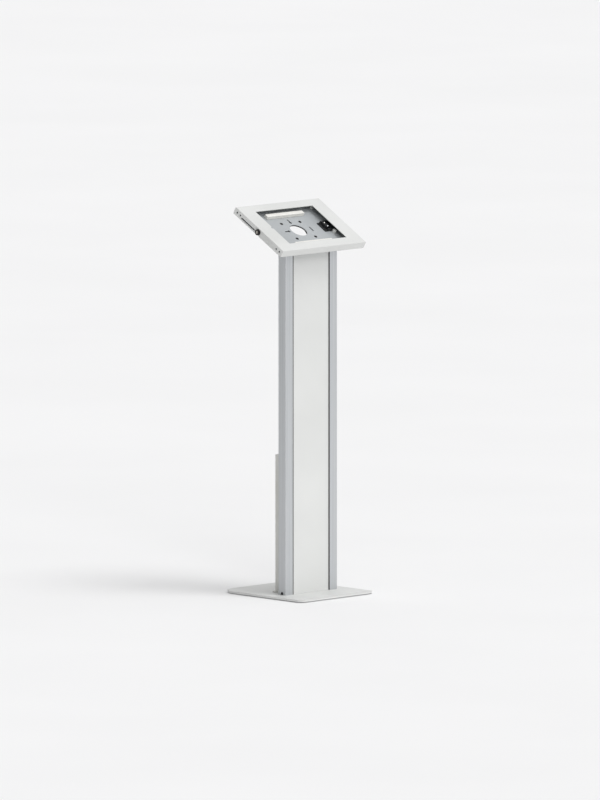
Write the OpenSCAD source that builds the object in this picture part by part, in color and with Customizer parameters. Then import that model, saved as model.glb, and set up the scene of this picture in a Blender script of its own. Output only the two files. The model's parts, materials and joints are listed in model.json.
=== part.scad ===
// Free-standing floor kiosk that holds and locks a tablet in a tilted steel enclosure.
// Millimetres. +X is the right-hand side, +Y the rear, +Z up. The origin is on the floor under the
// middle of the base plate.

/* [Base] */
// Width of the base plate, side to side
base_w = 300; // [270:1:400]
// Depth of the base plate, front to back
base_d = 335; // [310:1:420]
// Thickness of the base plate
base_t = 6; // [5:0.5:12]
// Radius of the two front corners of the base plate
base_front_r = 20; // [5:1:40]
// Radius of the two rear corners of the base plate
base_rear_r = 52; // [20:1:70]
// Diameter of each rubber pad under the base plate
pad_d = 26; // [16:1:34]
// Thickness of each rubber pad
pad_t = 3; // [2:0.5:6]
// Depth of the round seat that each pad is glued into
pad_seat = 1; // [0.5:0.25:1.5]
// Distance from the edges of the base plate to the middle of each pad
pad_inset = 36; // [30:1:50]

/* [Column] */
// Distance from the front edge of the base plate to the front of the column
column_setback = 110; // [90:1:140]
// Clear width between the two posts
column_gap = 150; // [140:1:190]
// Side of each square post
post_w = 30; // [30:1:40]
// Wall thickness of the posts
post_wall = 2; // [1.5:0.25:2.5]
// Outer corner radius of the posts
post_r = 1.2; // [0.5:0.1:1.8]
// Length of the posts
post_h = 1000; // [800:1:1200]
// Thickness of the lip of post in front of each panel slot
post_lip = 2.5; // [2:0.25:3.5]
// Depth of the panel slots
slot_depth = 6; // [5:0.5:7]
// Thickness of the front and rear panels
panel_t = 3; // [2:0.5:4]
// Width of the black sealing strip along each panel edge
strip_w = 2.5; // [1.5:0.25:4]
// Width of the lead notch through the foot of each post
notch_w = 10; // [6:0.5:12]
// Height of the lead notch through the foot of each post
notch_h = 8.5; // [7:0.5:12]
// Thickness of the cap plate on each post
cap_t = 2; // [1.5:0.5:3]
// Depth that each cap reaches into its post
cap_plug_h = 8; // [5:1:10]

/* [Column brackets] */
// Sheet thickness of the brackets that tie the posts together
bracket_t = 3; // [2.5:0.25:5]
// Height of the brackets
bracket_h = 46; // [44:1:60]
// Height of the lower of the two side screws above the web
bracket_screw_low = 16; // [15:0.5:18]
// Spacing of the two side screws
bracket_screw_pitch = 19; // [14:0.5:22]
// Diameter of the cable hole through the bracket webs
bracket_cable_d = 11; // [8:0.5:13]
// Distance from the middle to the inner web screws
web_screw_in = 20; // [16:1:28]
// Distance from the inner to the outer web screws
web_screw_pitch = 36; // [32:1:40]

/* [Rear cover] */
// Height of the rear cover
cover_h = 403; // [300:1:500]
// Depth of the rear cover behind the posts
cover_d = 45; // [36:1:70]
// Wall thickness of the rear cover
cover_wall = 2.5; // [2:0.25:4]
// Inner radius of the rear cover's moulded edges
cover_edge_r = 0.75; // [0.5:0.25:1.5]
// Thickness of the inward seat along each side of the rear cover
cover_seat_t = 4.5; // [4.25:0.25:6]
// Width of the inward seat along each side of the rear cover
cover_seat_w = 17; // [15:0.5:20]
// How far the foot flange of the rear cover stands out
cover_flange_out = 5; // [3:0.5:8]
// Thickness of the foot flange of the rear cover
cover_flange_t = 3; // [2:0.5:5]
// Diameter of each holding magnet
magnet_d = 10; // [8:0.5:12]
// Thickness of each holding magnet
magnet_t = 3; // [2:0.25:3.5]
// Distance of the magnets from the ends of the rear cover
magnet_inset = 40; // [25:1:60]
// Height of the cable grommet above the foot of the rear cover
grommet_rise = 34; // [24:1:60]
// Bore of the cable grommet
grommet_bore = 12; // [8:0.5:16]
// Wall of the cable grommet around its bore
grommet_wall = 3; // [2:0.5:4]
// Width of each rim of the cable grommet
grommet_rim = 3; // [2:0.5:5]
// Thickness of each rim of the cable grommet
grommet_rim_t = 2; // [1:0.25:3]

/* [Head] */
// Width of the enclosure
head_w = 337; // [325:1:380]
// Height of the enclosure along its slope
head_h = 225; // [218:1:260]
// Thickness of the enclosure
head_t = 22; // [21:0.5:26]
// Sheet thickness of the enclosure
sheet_t = 1.5; // [1:0.25:2]
// Inner radius of the bends in the enclosure's sheet
bend_r = 0.6; // [0.3:0.1:1.5]
// Slope of the enclosure above the horizontal
tilt = 30; // [22:1:36]
// Distance of the enclosure's middle behind the middle of the column
head_reach = 38.75; // [30:0.25:45]
// Height of the enclosure's middle above the posts
head_rise = 51.2; // [48:0.1:70]
// Width of the window in the front frame
window_w = 231; // [215:1:240]
// Height of the window in the front frame
window_h = 162; // [150:1:170]
// Radius of the camera notch in the left edge of the window
camera_notch_r = 4.5; // [2:0.25:5]
// Clearance between the skirts of the front frame and the walls of the tray
lid_gap = 1; // [0.9:0.1:1.5]
// Height of the skirts' lower edge above the back of the tray
skirt_lift = 0.5; // [0.4:0.1:1]
// Diameter of the sound holes in the sides
sound_d = 6; // [4:0.5:7]
// Distance of the inner sound holes from the middle of the side
sound_in = 85.3; // [84:0.1:90]
// Spacing of each pair of sound holes
sound_pitch = 14.4; // [9:0.1:15]
// Length of the access slot in the left side
access_len = 64; // [40:1:66]
// Height of the access slot in the left side
access_h = 4.5; // [3:0.25:5]
// Distance from the middle of the left side to the access slot
access_start = 15; // [14:0.5:18]
// Height of the access slot above the back of the tray
access_z = 7.2; // [6:0.1:9]

/* [Head bracket] */
// Length of the plate behind the tray, up its slope, past the hanging holes
mount_plate_w = 112; // [104:1:120]
// Spacing of the four screws in the plate
mount_pitch = 75; // [75:1:80]
// Diameter of the cable hole in the middle of the plate and the tray
cable_hole_d = 54; // [40:1:58]
// Room for a spanner between the flats of each mounting nut and the cheek beside it
cheek_room = 2.1; // [1.5:0.1:4]
// How far the plate reaches past the two side cheeks
cheek_inset = 10; // [8:0.5:12]
// Length of the hanging holes in the tray
keyhole_len = 21; // [18:0.5:24]
// Wide end of the hanging holes
keyhole_d = 8.5; // [7:0.5:10]
// Narrow end of the hanging holes
keyhole_neck = 4.5; // [3:0.25:5.5]
// Distance of the hanging holes from the middle of the tray
keyhole_at = 44.5; // [43:0.5:50]
// Distance of the hanging slot from the middle of the tray
tie_slot_at = 52; // [48:0.5:60]

/* [Hinges] */
// Length of each hinge
hinge_len = 40; // [30:1:44]
// Distance of each hinge from the middle of the side
hinge_at = 55; // [45:1:58]
// Thickness of the hinge leaves
leaf_t = 1.2; // [1:0.1:1.5]
// Width of the leaf under the tray
tray_leaf_w = 30; // [24:1:40]
// Height of the leaf on the skirt
skirt_leaf_h = 15; // [13:0.5:18]
// Outer radius of the hinge knuckles
knuckle_r = 2.6; // [2.2:0.1:2.6]
// Radius of the hinge pins
pin_r = 1.25; // [1:0.05:1.5]
// Distance of the hinge line outside the side of the enclosure
hinge_out = 3; // [3:0.1:4]
// Length of the middle knuckle of each hinge
knuckle_mid = 16; // [10:1:20]
// Gap between neighbouring knuckles
knuckle_gap = 0.4; // [0.3:0.1:0.8]
// Spacing of the rivets along each leaf
rivet_pitch = 14; // [11:0.5:16]
// Radius of the rivet shanks
rivet_r = 1.6; // [1.2:0.1:2]
// Radius of the rivet heads
rivet_head_r = 3; // [2.4:0.1:3.4]
// Thickness of the rivet heads
rivet_head_t = 1; // [0.6:0.1:1.2]

/* [Lock] */
// Diameter of the lock's round head
lock_head_d = 18; // [16:0.5:20]
// Thickness of the lock's round head
lock_head_t = 5.3; // [4:0.1:7]
// Chamfer around the face of the lock's round head
lock_edge = 1; // [0.5:0.1:1.5]
// Diameter of the lock barrel
lock_barrel_d = 12; // [11:0.5:13]
// Length of the lock barrel behind its head
lock_len = 20; // [16:0.5:26]
// Diameter of the turning plug
lock_plug_d = 9; // [8:0.25:9.5]
// Outer diameter of the ring-shaped keyway
keyway_d = 7.2; // [6:0.1:7.5]
// Width of the ring-shaped keyway
keyway_w = 1.3; // [1:0.1:1.6]
// Depth of the ring-shaped keyway
keyway_deep = 4; // [2:0.5:8]
// Side of the square drive that carries the cam
drive_w = 5; // [4.5:0.1:5.4]
// Thickness of the cam
cam_t = 2; // [1.5:0.25:3]
// Reach of the cam from the lock's axis
cam_reach = 8; // [7:0.25:8.25]
// Width of the cam
cam_w = 7; // [6.5:0.25:7.5]
// Thickness of the hook plate under the front frame
hook_t = 2; // [1.5:0.25:2.5]
// Length of the hook plate along the lock's axis
hook_len = 8; // [6:0.5:12]
// Thickness of the lip that the cam catches
hook_lip_t = 1.5; // [1:0.25:2]
// Thickness of the clip that holds the barrel
clip_t = 1.2; // [0.8:0.1:2]

/* [Tablet bay] */
// Length of the two foam bars
foam_len = 150; // [100:1:170]
// Width of the foam bars
foam_w = 14.5; // [10:0.5:18]
// Height of the foam bars
foam_h = 10.5; // [8:0.5:12]
// Distance of the foam bars from the middle of the tray
foam_at = 70.55; // [68:0.05:78]
// Diameter of the corner stops
stop_d = 9; // [6:0.5:11]
// Chamfer around the top of the corner stops
stop_edge = 1; // [0.5:0.1:1.5]
// Height of the corner stops
stop_h = 13; // [10:0.5:16]
// Distance of the corner stops from the middle, side to side
stop_x = 131.6; // [128:0.1:140]
// Distance of the corner stops from the middle, along the slope
stop_y = 94.5; // [92:0.1:98]

/* [Lead clamp] */
// Distance of the clamp's inner end from the middle of the tray
clamp_at = 91.5; // [88:0.5:95]
// Length of the clamp base
clamp_len = 55; // [50:1:58]
// Width of the clamp base
clamp_w = 41; // [39:0.5:48]
// Thickness of the clamp base
clamp_t = 3; // [2:0.25:4]
// Width of the raised rail along each side of the clamp base
rail_w = 4.5; // [3:0.25:5]
// Height of the raised rails above the clamp base
rail_h = 5.5; // [3:0.5:7]
// Distance of the saddle from the clamp's inner end
saddle_at = 9; // [8.5:0.5:10]
// Length of the saddle
saddle_len = 12; // [10:0.5:12.5]
// Height of the saddle
saddle_h = 8; // [7:0.5:9]
// Bore of the saddle for a charging lead
lead_bore = 4.6; // [3:0.1:5]
// Distance of the saddle screws from the lead
saddle_screw_at = 8; // [6.5:0.25:8.5]
// Length of the view hole in the clamp base
view_len = 14; // [8:0.5:16]
// Width of the view hole in the clamp base
view_w = 10; // [6:0.5:14]
// Distance from the saddle to the view hole
view_gap = 3; // [2:0.25:5]
// Diameter of the lead guide post
guide_d = 12.4; // [8:0.2:14]
// Height of the lead guide post
guide_h = 9; // [6:0.5:12]
// Distance of the lead guide post from the clamp's inner end
guide_at = 29; // [20:0.5:36]

/* [Fasteners] */
// Thread diameter of the column screws
column_screw_d = 5; // [4:0.5:5]
// Thread diameter of the base screws
base_screw_d = 6; // [5:0.5:6]
// Thread diameter of the four mounting screws behind the tray
mount_screw_d = 4; // [3:0.5:4]
// Diameter of the flange under the heads of the mounting screws
mount_flange_d = 10; // [8:0.5:12]
// Thread diameter of the small screws in the tray and the lock
small_screw_d = 3; // [2.5:0.25:3]

/* [Clearances] */
// Clearance beside parts that are fitted by hand
fit_gap = 0.3; // [0.2:0.05:0.5]
// Clearance of panels in their slots
slot_gap = 0.2; // [0.1:0.05:0.4]
// Clearance around turning parts and screws
run_gap = 0.05; // [0.03:0.01:0.09]
// Clearance around hinge knuckles
swing_gap = 0.6; // [0.5:0.05:0.8]

/* [Hidden] */
$fn = 48;

// Extra length that lets a cut run past the faces it opens
over = 1;

// Screw proportions: head diameter and head height over thread diameter, and the key socket
head_ratio = 1.8;
head_h_ratio = 0.55;
socket_ratio = 0.6;
socket_depth_ratio = 0.3;
flange_h_ratio = 0.2;
nut_flat_ratio = 1.7;
nut_h_ratio = 0.8;
sink_ratio = 2;
sink_depth_ratio = 0.5;

// Length that screws run on past their nuts, and the cam screw's length
screw_tail = 1;
cam_screw_len = 4.5;

// Base and column levels
base_z = pad_t - pad_seat;
base_top = base_z + base_t;
post_top = base_top + post_h;
column_front = column_setback - base_d / 2;
column_back = column_front + post_w;
column_y = (column_front + column_back) / 2;

// Post profile
slot_w = panel_t + 2 * slot_gap;
channel_wall = 1.6;
channel_depth = slot_depth + channel_wall;
channel_w = post_lip + slot_w + channel_wall;
panel_w = column_gap + 2 * (slot_depth - fit_gap);
panel_top_gap = 1;
panel_h = post_h - panel_top_gap;
panel_in = post_lip + slot_gap;
panel_front_y = column_front + panel_in;
panel_rear_y = column_back - panel_in - panel_t;
strip_back = 0.4;
strip_t = panel_in - strip_back;

// Column brackets fit between the posts and between the panels
bracket_side_gap = 0.6;
bracket_w = column_gap - 2 * fit_gap;
bracket_d = post_w - 2 * (panel_in + panel_t + bracket_side_gap);
bracket_screw_z = [bracket_screw_low, bracket_screw_low + bracket_screw_pitch];
web_screw_x = [web_screw_in, web_screw_in + web_screw_pitch];
notch_relief = 2;
insert_wall = 1;
insert_r = column_screw_d / 2 + insert_wall;
insert_bulge_r = insert_r + insert_wall;
insert_bulge_t = 3;
insert_len = 11;

// Rear cover
cover_w = column_gap - 2 * fit_gap;
cover_front_y = column_back - panel_in + slot_gap;
cover_rear_y = column_back + cover_d;
cover_z = base_top + fit_gap;
cover_inner_d = cover_rear_y - cover_wall - cover_front_y - cover_seat_t;
magnet_z = [cover_z + magnet_inset, cover_z + cover_h - magnet_inset];
magnet_x = cover_w / 2 - cover_wall - (cover_seat_w - cover_wall) / 2;
access_margin = 8;
access_open_w = cover_w - 2 * (cover_seat_w + access_margin);
access_open_end = 60;
grommet_r = grommet_bore / 2 + grommet_wall;

// Foot plate of the head bracket, between the post caps
foot_side_gap = 1;
foot_edge_gap = 1.5;
foot_w = column_gap - 2 * foot_side_gap;
foot_d = post_w - 2 * foot_edge_gap;

// Cheeks of the head bracket stand outside the mounting nuts, and the plate reaches past them
cheek_in_x = (mount_pitch + mount_screw_d * nut_flat_ratio) / 2 + cheek_room;
mount_plate_across = 2 * (cheek_in_x + bracket_t + cheek_inset);

// Enclosure: local x right, y up the slope, z out of the back face of the tray
head_y = column_y + head_reach;
head_z = post_top + head_rise;
tray_out_x = head_w / 2 - sheet_t - lid_gap;
tray_out_y = head_h / 2 - sheet_t - lid_gap;
frame_under = head_t - sheet_t;
tray_top = frame_under - skirt_lift;
side_z = head_t / 2;
sound_y = [sound_in, sound_in + sound_pitch];

// Hinge
hinge_x = head_w / 2 + hinge_out;
knuckle_clear = knuckle_r + swing_gap;
rivet_y = [-rivet_pitch, 0, rivet_pitch];
tray_rivet_edge = 5;
frame_rivet_edge = 1;
tray_rivet_x = hinge_x - tray_leaf_w + rivet_head_r + tray_rivet_edge;
frame_rivet_z = skirt_leaf_h - rivet_head_r - frame_rivet_edge;

// Lock: its axis runs along x through the left side
lock_face_x = -head_w / 2 - fit_gap - lock_head_t;
lock_seat_x = -head_w / 2 - fit_gap;
lock_end_x = lock_seat_x + lock_len;
cam_x = lock_end_x + fit_gap;
drive_proud = 0.1;
drive_end_x = cam_x + cam_t + drive_proud;
flat_cut = 1.5;
barrel_flat = lock_barrel_d - flat_cut;
cam_hub_rim = 0.5;
cam_hub_r = cam_w / 2 + cam_hub_rim;
hook_clear = 2;
hook_y = cam_reach + hook_clear;
hook_bottom_z = side_z - cam_w / 2 - hook_clear - hook_lip_t;
hook_start_gap = 0.2;
lip_gap = 0.6;
clip_reach = 3;
clip_overlap = 1.5;
hook_foot_len = 12;

// Lead clamp levels
clamp_top_z = sheet_t + clamp_t;
saddle_x = clamp_at + saddle_at;
small_head_r = small_screw_d * head_ratio / 2;
saddle_rim = 1;
saddle_w = 2 * (saddle_screw_at + small_head_r + saddle_rim);
clamp_screw_in = 4;
clamp_screw_out = 6;
clamp_screw_off = 3.6;
clamp_screw_xy = [
    for (x = [clamp_at + clamp_screw_in, clamp_at + clamp_len - clamp_screw_out], side = [-1, 1])
        [x, side * (clamp_w / 2 - rail_w - clamp_screw_off)]
];
guide_gap = 0.8;
guide_y = -(clamp_w / 2 + guide_gap + guide_d / 2);
guide_pin_r = 2;

// Side view position (y, z) of a point given in the enclosure's slope and normal directions
function head_point(y, z) = [
    head_y + y * cos(tilt) - z * sin(tilt),
    head_z + y * sin(tilt) + z * cos(tilt)
];

// Moves children from the enclosure's own frame to the floor frame
module in_head() {
    translate([0, head_y, head_z])
        rotate([tilt, 0, 0])
            children();
}

module along_x(x, y, z) {
    translate([x, y, z])
        rotate([0, 90, 0])
            children();
}

module along_y(x, y, z) {
    translate([x, y, z])
        rotate([-90, 0, 0])
            children();
}

module both_sides() {
    children();
    mirror([1, 0, 0])
        children();
}

module centred_box(w, d, h) {
    translate([-w / 2, -d / 2, 0])
        cube([w, d, h]);
}

// Outline w wide and h high that stands on the x axis with its two lower corners rounded
module bent_outline(w, h, r) {
    translate([-w / 2, r])
        square([w, h - r]);
    translate([-w / 2 + r, 0])
        square([w - 2 * r, h]);
    for (side = [-1, 1])
        translate([side * (w / 2 - r), r])
            circle(r = r);
}

// Block on z = 0 with the four edges of its underside rounded
module bent_block(half_x, half_y, h, r) {
    intersection() {
        translate([0, half_y + over, 0])
            rotate([90, 0, 0])
                linear_extrude(height = 2 * (half_y + over))
                    bent_outline(2 * half_x, h, r);
        translate([-half_x - over, 0, 0])
            rotate([90, 0, 90])
                linear_extrude(height = 2 * (half_x + over))
                    bent_outline(2 * half_y, h, r);
    }
}

// Cylinder with a chamfer around its upper end
module chamfered_cylinder(r, h, edge) {
    cylinder(r = r, h = h - edge);
    translate([0, 0, h - edge])
        cylinder(r1 = r, r2 = r - edge, h = edge);
}

module tube(outer_r, inner_r, h) {
    difference() {
        cylinder(r = outer_r, h = h);
        translate([0, 0, -over])
            cylinder(r = inner_r, h = h + 2 * over);
    }
}

// Button-head screw: the head stands on z = 0 and the shank runs down
module button_screw(d, length) {
    head_h = d * head_h_ratio;
    difference() {
        union() {
            cylinder(r = d * head_ratio / 2, h = head_h);
            translate([0, 0, -length])
                cylinder(r = d / 2 - run_gap, h = length + head_h / 2);
        }
        translate([0, 0, head_h - d * socket_depth_ratio])
            cylinder(r = d * socket_ratio / 2, h = d, $fn = 6);
    }
}

// Hexagon nut that stands on z = 0
module hex_nut(d) {
    difference() {
        cylinder(r = d * nut_flat_ratio / sqrt(3), h = d * nut_h_ratio, $fn = 6);
        translate([0, 0, -over])
            cylinder(r = d / 2 + run_gap, h = d * nut_h_ratio + 2 * over);
    }
}

// Base

module base_outline() {
    front = -base_d / 2;
    translate([-base_w / 2 + base_front_r, front])
        square([base_w - 2 * base_front_r, base_d / 2]);
    translate([-base_w / 2, front + base_front_r])
        square([base_w, base_d - base_front_r - base_rear_r]);
    translate([-base_w / 2 + base_rear_r, 0])
        square([base_w - 2 * base_rear_r, base_d / 2]);
    both_sides() {
        translate([base_w / 2 - base_front_r, front + base_front_r])
            circle(r = base_front_r, $fn = 96);
        translate([base_w / 2 - base_rear_r, base_d / 2 - base_rear_r])
            circle(r = base_rear_r, $fn = 96);
    }
}

module at_pads() {
    for (x = [-1, 1], y = [-1, 1])
        translate([x * (base_w / 2 - pad_inset), y * (base_d / 2 - pad_inset), 0])
            children();
}

module at_web_screws() {
    for (side = [-1, 1], x = web_screw_x)
        translate([side * x, column_y, 0])
            children();
}

// Cone and shank of a sunk screw with its flat face on z = 0, wider by the given gap
module sunk_shape(gap) {
    head_r = base_screw_d * sink_ratio / 2;
    cylinder(r1 = head_r + gap, r2 = base_screw_d / 2 + gap, h = base_screw_d * sink_depth_ratio);
    cylinder(r = base_screw_d / 2 + gap, h = base_t + bracket_t + base_screw_d);
}

module base_plate() {
    color("white")
        difference() {
            translate([0, 0, base_z])
                linear_extrude(height = base_t)
                    base_outline();
            at_pads()
                translate([0, 0, base_z - over])
                    cylinder(r = pad_d / 2 + run_gap, h = pad_seat + over);
            at_web_screws()
                translate([0, 0, base_z])
                    sunk_shape(run_gap);
        }
}

module base_pads() {
    color("black")
        at_pads()
            cylinder(r = pad_d / 2, h = pad_t);
}

// Channel with its web on z = 0 and its two sides standing up
module column_bracket(web_screw_d) {
    difference() {
        union() {
            centred_box(bracket_w, bracket_d, bracket_t);
            both_sides()
                translate([bracket_w / 2 - bracket_t, -bracket_d / 2, 0])
                    cube([bracket_t, bracket_d, bracket_h]);
        }
        translate([0, 0, -over])
            cylinder(r = bracket_cable_d / 2, h = bracket_t + 2 * over);
        for (side = [-1, 1], x = web_screw_x)
            translate([side * x, 0, -over])
                cylinder(r = web_screw_d / 2 + run_gap, h = bracket_t + 2 * over);
        for (z = bracket_screw_z)
            along_x(-bracket_w / 2 - over, 0, z)
                cylinder(r = column_screw_d / 2 + run_gap, h = bracket_w + 2 * over);
    }
}

// Round-topped way for a lead, from inside the column out through the foot of the right-hand post
module lead_notch() {
    start = bracket_w / 2 - bracket_t - notch_relief;
    length = column_gap / 2 + post_w + over - start;
    spring_z = base_top + notch_h - notch_w / 2;
    translate([start, column_y - notch_w / 2, base_top - over])
        cube([length, notch_w, spring_z - base_top + over]);
    along_x(start, column_y, spring_z)
        cylinder(r = notch_w / 2, h = length);
}

module base_bracket() {
    color("lightgray")
        difference() {
            translate([0, column_y, base_top])
                column_bracket(base_screw_d);
            both_sides()
                lead_notch();
        }
}

module base_screws() {
    color("dimgray")
        at_web_screws()
            translate([0, 0, base_z])
                sunk_shape(0);
}

module base_nuts() {
    color("silver")
        at_web_screws()
            translate([0, 0, base_top + bracket_t])
                hex_nut(base_screw_d);
}

// Column

module post_outline() {
    translate([post_r, 0])
        square([post_w - 2 * post_r, post_w]);
    translate([0, post_r])
        square([post_w, post_w - 2 * post_r]);
    for (x = [post_r, post_w - post_r], y = [post_r, post_w - post_r])
        translate([x, y])
            circle(r = post_r);
}

// Hollow of the post, clear of the walls around the two panel slots
module post_hollow() {
    difference() {
        translate([post_wall, post_wall])
            square(post_w - 2 * post_wall);
        square([channel_depth, channel_w]);
        translate([0, post_w - channel_w])
            square([channel_depth, channel_w]);
    }
}

module post_profile() {
    difference() {
        post_outline();
        post_hollow();
        for (y = [post_lip, post_w - post_lip - slot_w])
            translate([-over, y])
                square([slot_depth + over, slot_w]);
    }
}

// Heights of the side screws at the foot and at the top of the posts
function post_screw_levels() = [
    for (z = bracket_screw_z) each [base_top + z, post_top - z]
];

// Post on the right-hand side
module post() {
    difference() {
        translate([column_gap / 2, column_front, base_top])
            linear_extrude(height = post_h)
                post_profile();
        for (z = post_screw_levels())
            along_x(column_gap / 2 - over, column_y, z)
                cylinder(r = insert_r + run_gap, h = post_wall + 2 * over);
        lead_notch();
    }
}

module right_post() {
    color("silver")
        post();
}

module left_post() {
    color("silver")
        mirror([1, 0, 0])
            post();
}

// Threaded sleeves set in the inner walls of the posts
module post_inserts() {
    color("goldenrod")
        both_sides()
            for (z = post_screw_levels())
                along_x(column_gap / 2, column_y, z)
                    difference() {
                        union() {
                            cylinder(r = insert_r, h = insert_len);
                            translate([0, 0, post_wall])
                                cylinder(r = insert_bulge_r, h = insert_bulge_t);
                        }
                        translate([0, 0, -over])
                            cylinder(r = column_screw_d / 2 + run_gap, h = insert_len + 2 * over);
                    }
}

module post_screws() {
    color("dimgray")
        both_sides()
            for (z = post_screw_levels())
                along_x(bracket_w / 2 - bracket_t, column_y, z)
                    mirror([0, 0, 1])
                        button_screw(column_screw_d, bracket_t + fit_gap + insert_len);
}

module front_panel() {
    color("whitesmoke")
        translate([-panel_w / 2, panel_front_y, base_top])
            cube([panel_w, panel_t, panel_h]);
}

module rear_panel() {
    color("whitesmoke")
        difference() {
            translate([-panel_w / 2, panel_rear_y, base_top])
                cube([panel_w, panel_t, panel_h]);
            translate([-access_open_w / 2, panel_rear_y - over, cover_z + access_open_end])
                cube([access_open_w, panel_t + 2 * over, cover_h - 2 * access_open_end]);
        }
}

// Strips between the lips of the posts and the faces of the panels
module panel_strips() {
    strip_x = column_gap / 2 - run_gap - strip_w;
    rear_z = cover_z + cover_h + fit_gap;
    color("black")
        both_sides() {
            translate([strip_x, column_front + strip_back, base_top])
                cube([strip_w, strip_t, panel_h]);
            translate([strip_x, column_back - panel_in, rear_z])
                cube([strip_w, strip_t, base_top + panel_h - rear_z]);
        }
}

module post_cap() {
    plug_gap = fit_gap + post_wall;
    color("lightgray") {
        translate([column_gap / 2, column_front, post_top])
            linear_extrude(height = cap_t)
                post_outline();
        translate([column_gap / 2 + channel_depth + fit_gap, column_front + plug_gap, post_top - cap_plug_h])
            cube([
                post_w - channel_depth - fit_gap - plug_gap,
                post_w - 2 * plug_gap,
                cap_plug_h + cap_t / 2
            ]);
    }
}

module right_post_cap() {
    post_cap();
}

module left_post_cap() {
    mirror([1, 0, 0])
        post_cap();
}

module top_bracket() {
    color("lightgray")
        translate([0, column_y, post_top])
            mirror([0, 0, 1])
                column_bracket(column_screw_d);
}

// Rear cover

// Block with its rear face on y = 0 and its top on z = 0, and rounded edges around the rear and the top
module cover_block(w, d, h, r) {
    intersection() {
        translate([0, 0, -h])
            linear_extrude(height = h)
                rotate(180)
                    bent_outline(w, d, r);
        rotate([90, 0, 0])
            linear_extrude(height = d)
                rotate(180)
                    bent_outline(w, h, r);
        translate([-w / 2, 0, -h - r])
            rotate([90, 0, 90])
                linear_extrude(height = w)
                    rotate(90)
                        bent_outline(2 * (h + r), d, r);
    }
}

module cover_shell() {
    cover_top_z = cover_z + cover_h;
    difference() {
        translate([0, cover_rear_y, cover_top_z])
            cover_block(cover_w, cover_rear_y - cover_front_y, cover_h, cover_edge_r + cover_wall);
        translate([0, cover_rear_y - cover_wall, cover_top_z - cover_wall])
            cover_block(cover_w - 2 * cover_wall, cover_inner_d, cover_h - cover_wall + over, cover_edge_r);
        translate([-cover_w / 2 + cover_seat_w, cover_front_y - over, cover_z - over])
            cube([cover_w - 2 * cover_seat_w, cover_seat_t + 2 * over, cover_h - cover_wall + over]);
    }
}

// Flange around the foot, behind the posts only
module cover_flange() {
    front_y = column_back + fit_gap;
    translate([-cover_w / 2 - cover_flange_out, front_y, cover_z])
        difference() {
            cube([
                cover_w + 2 * cover_flange_out,
                cover_rear_y + cover_flange_out - front_y,
                cover_flange_t
            ]);
            translate([cover_flange_out + cover_wall / 2, -over, -over])
                cube([
                    cover_w - cover_wall,
                    cover_rear_y - cover_wall / 2 - front_y + over,
                    cover_flange_t + 2 * over
                ]);
        }
}

module at_magnets() {
    for (side = [-1, 1], z = magnet_z)
        along_y(side * magnet_x, cover_front_y, z)
            children();
}

module rear_cover() {
    color("white")
        difference() {
            union() {
                cover_shell();
                cover_flange();
            }
            at_magnets()
                translate([0, 0, -over])
                    cylinder(r = magnet_d / 2 + run_gap, h = magnet_t + over);
            along_y(0, cover_rear_y - cover_wall - over, cover_z + grommet_rise)
                cylinder(r = grommet_r + run_gap, h = cover_wall + 2 * over);
        }
}

module cover_magnets() {
    color("gray")
        at_magnets()
            cylinder(r = magnet_d / 2, h = magnet_t);
}

module cable_grommet() {
    color("black")
        along_y(0, cover_rear_y - cover_wall - grommet_rim_t, cover_z + grommet_rise)
            difference() {
                union() {
                    cylinder(r = grommet_r, h = cover_wall + 2 * grommet_rim_t);
                    cylinder(r = grommet_r + grommet_rim, h = grommet_rim_t);
                    translate([0, 0, cover_wall + grommet_rim_t])
                        cylinder(r = grommet_r + grommet_rim, h = grommet_rim_t);
                }
                translate([0, 0, -over])
                    cylinder(r = grommet_bore / 2, h = cover_wall + 2 * grommet_rim_t + 2 * over);
            }
}

// Head bracket

module at_mount_screws() {
    for (x = [-1, 1], y = [-1, 1])
        translate([x * mount_pitch / 2, y * mount_pitch / 2, 0])
            children();
}

// Side view of one cheek, from the foot plate up to the underside of the mounting plate
module cheek_outline() {
    sink = bracket_t / 2;
    half = mount_plate_w / 2;
    polygon([
        [column_y - foot_d / 2, post_top + sink],
        [column_y + foot_d / 2, post_top + sink],
        head_point(half, -sink),
        head_point(-half, -sink)
    ]);
}

module head_bracket() {
    color("dimgray")
        difference() {
            union() {
                translate([0, column_y, post_top])
                    centred_box(foot_w, foot_d, bracket_t);
                both_sides()
                    translate([cheek_in_x, 0, 0])
                        rotate([90, 0, 90])
                            linear_extrude(height = bracket_t)
                                cheek_outline();
                in_head()
                    translate([0, 0, -bracket_t])
                        centred_box(mount_plate_across, mount_plate_w, bracket_t);
            }
            translate([0, column_y, post_top - over])
                cylinder(r = bracket_cable_d / 2, h = bracket_t + 2 * over);
            at_web_screws()
                translate([0, 0, post_top - over])
                    cylinder(r = column_screw_d / 2 + run_gap, h = bracket_t + 2 * over);
            in_head()
                translate([0, 0, -bracket_t - over]) {
                    cylinder(r = cable_hole_d / 2, h = bracket_t + 2 * over);
                    at_mount_screws()
                        cylinder(r = mount_screw_d / 2 + run_gap, h = bracket_t + 2 * over);
                }
        }
}

module head_bracket_screws() {
    color("dimgray")
        at_web_screws()
            translate([0, 0, post_top + bracket_t])
                button_screw(column_screw_d, 2 * bracket_t + column_screw_d);
}

module head_bracket_nuts() {
    color("silver")
        at_web_screws()
            translate([0, 0, post_top - bracket_t - column_screw_d * nut_h_ratio])
                hex_nut(column_screw_d);
}

// Enclosure

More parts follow.
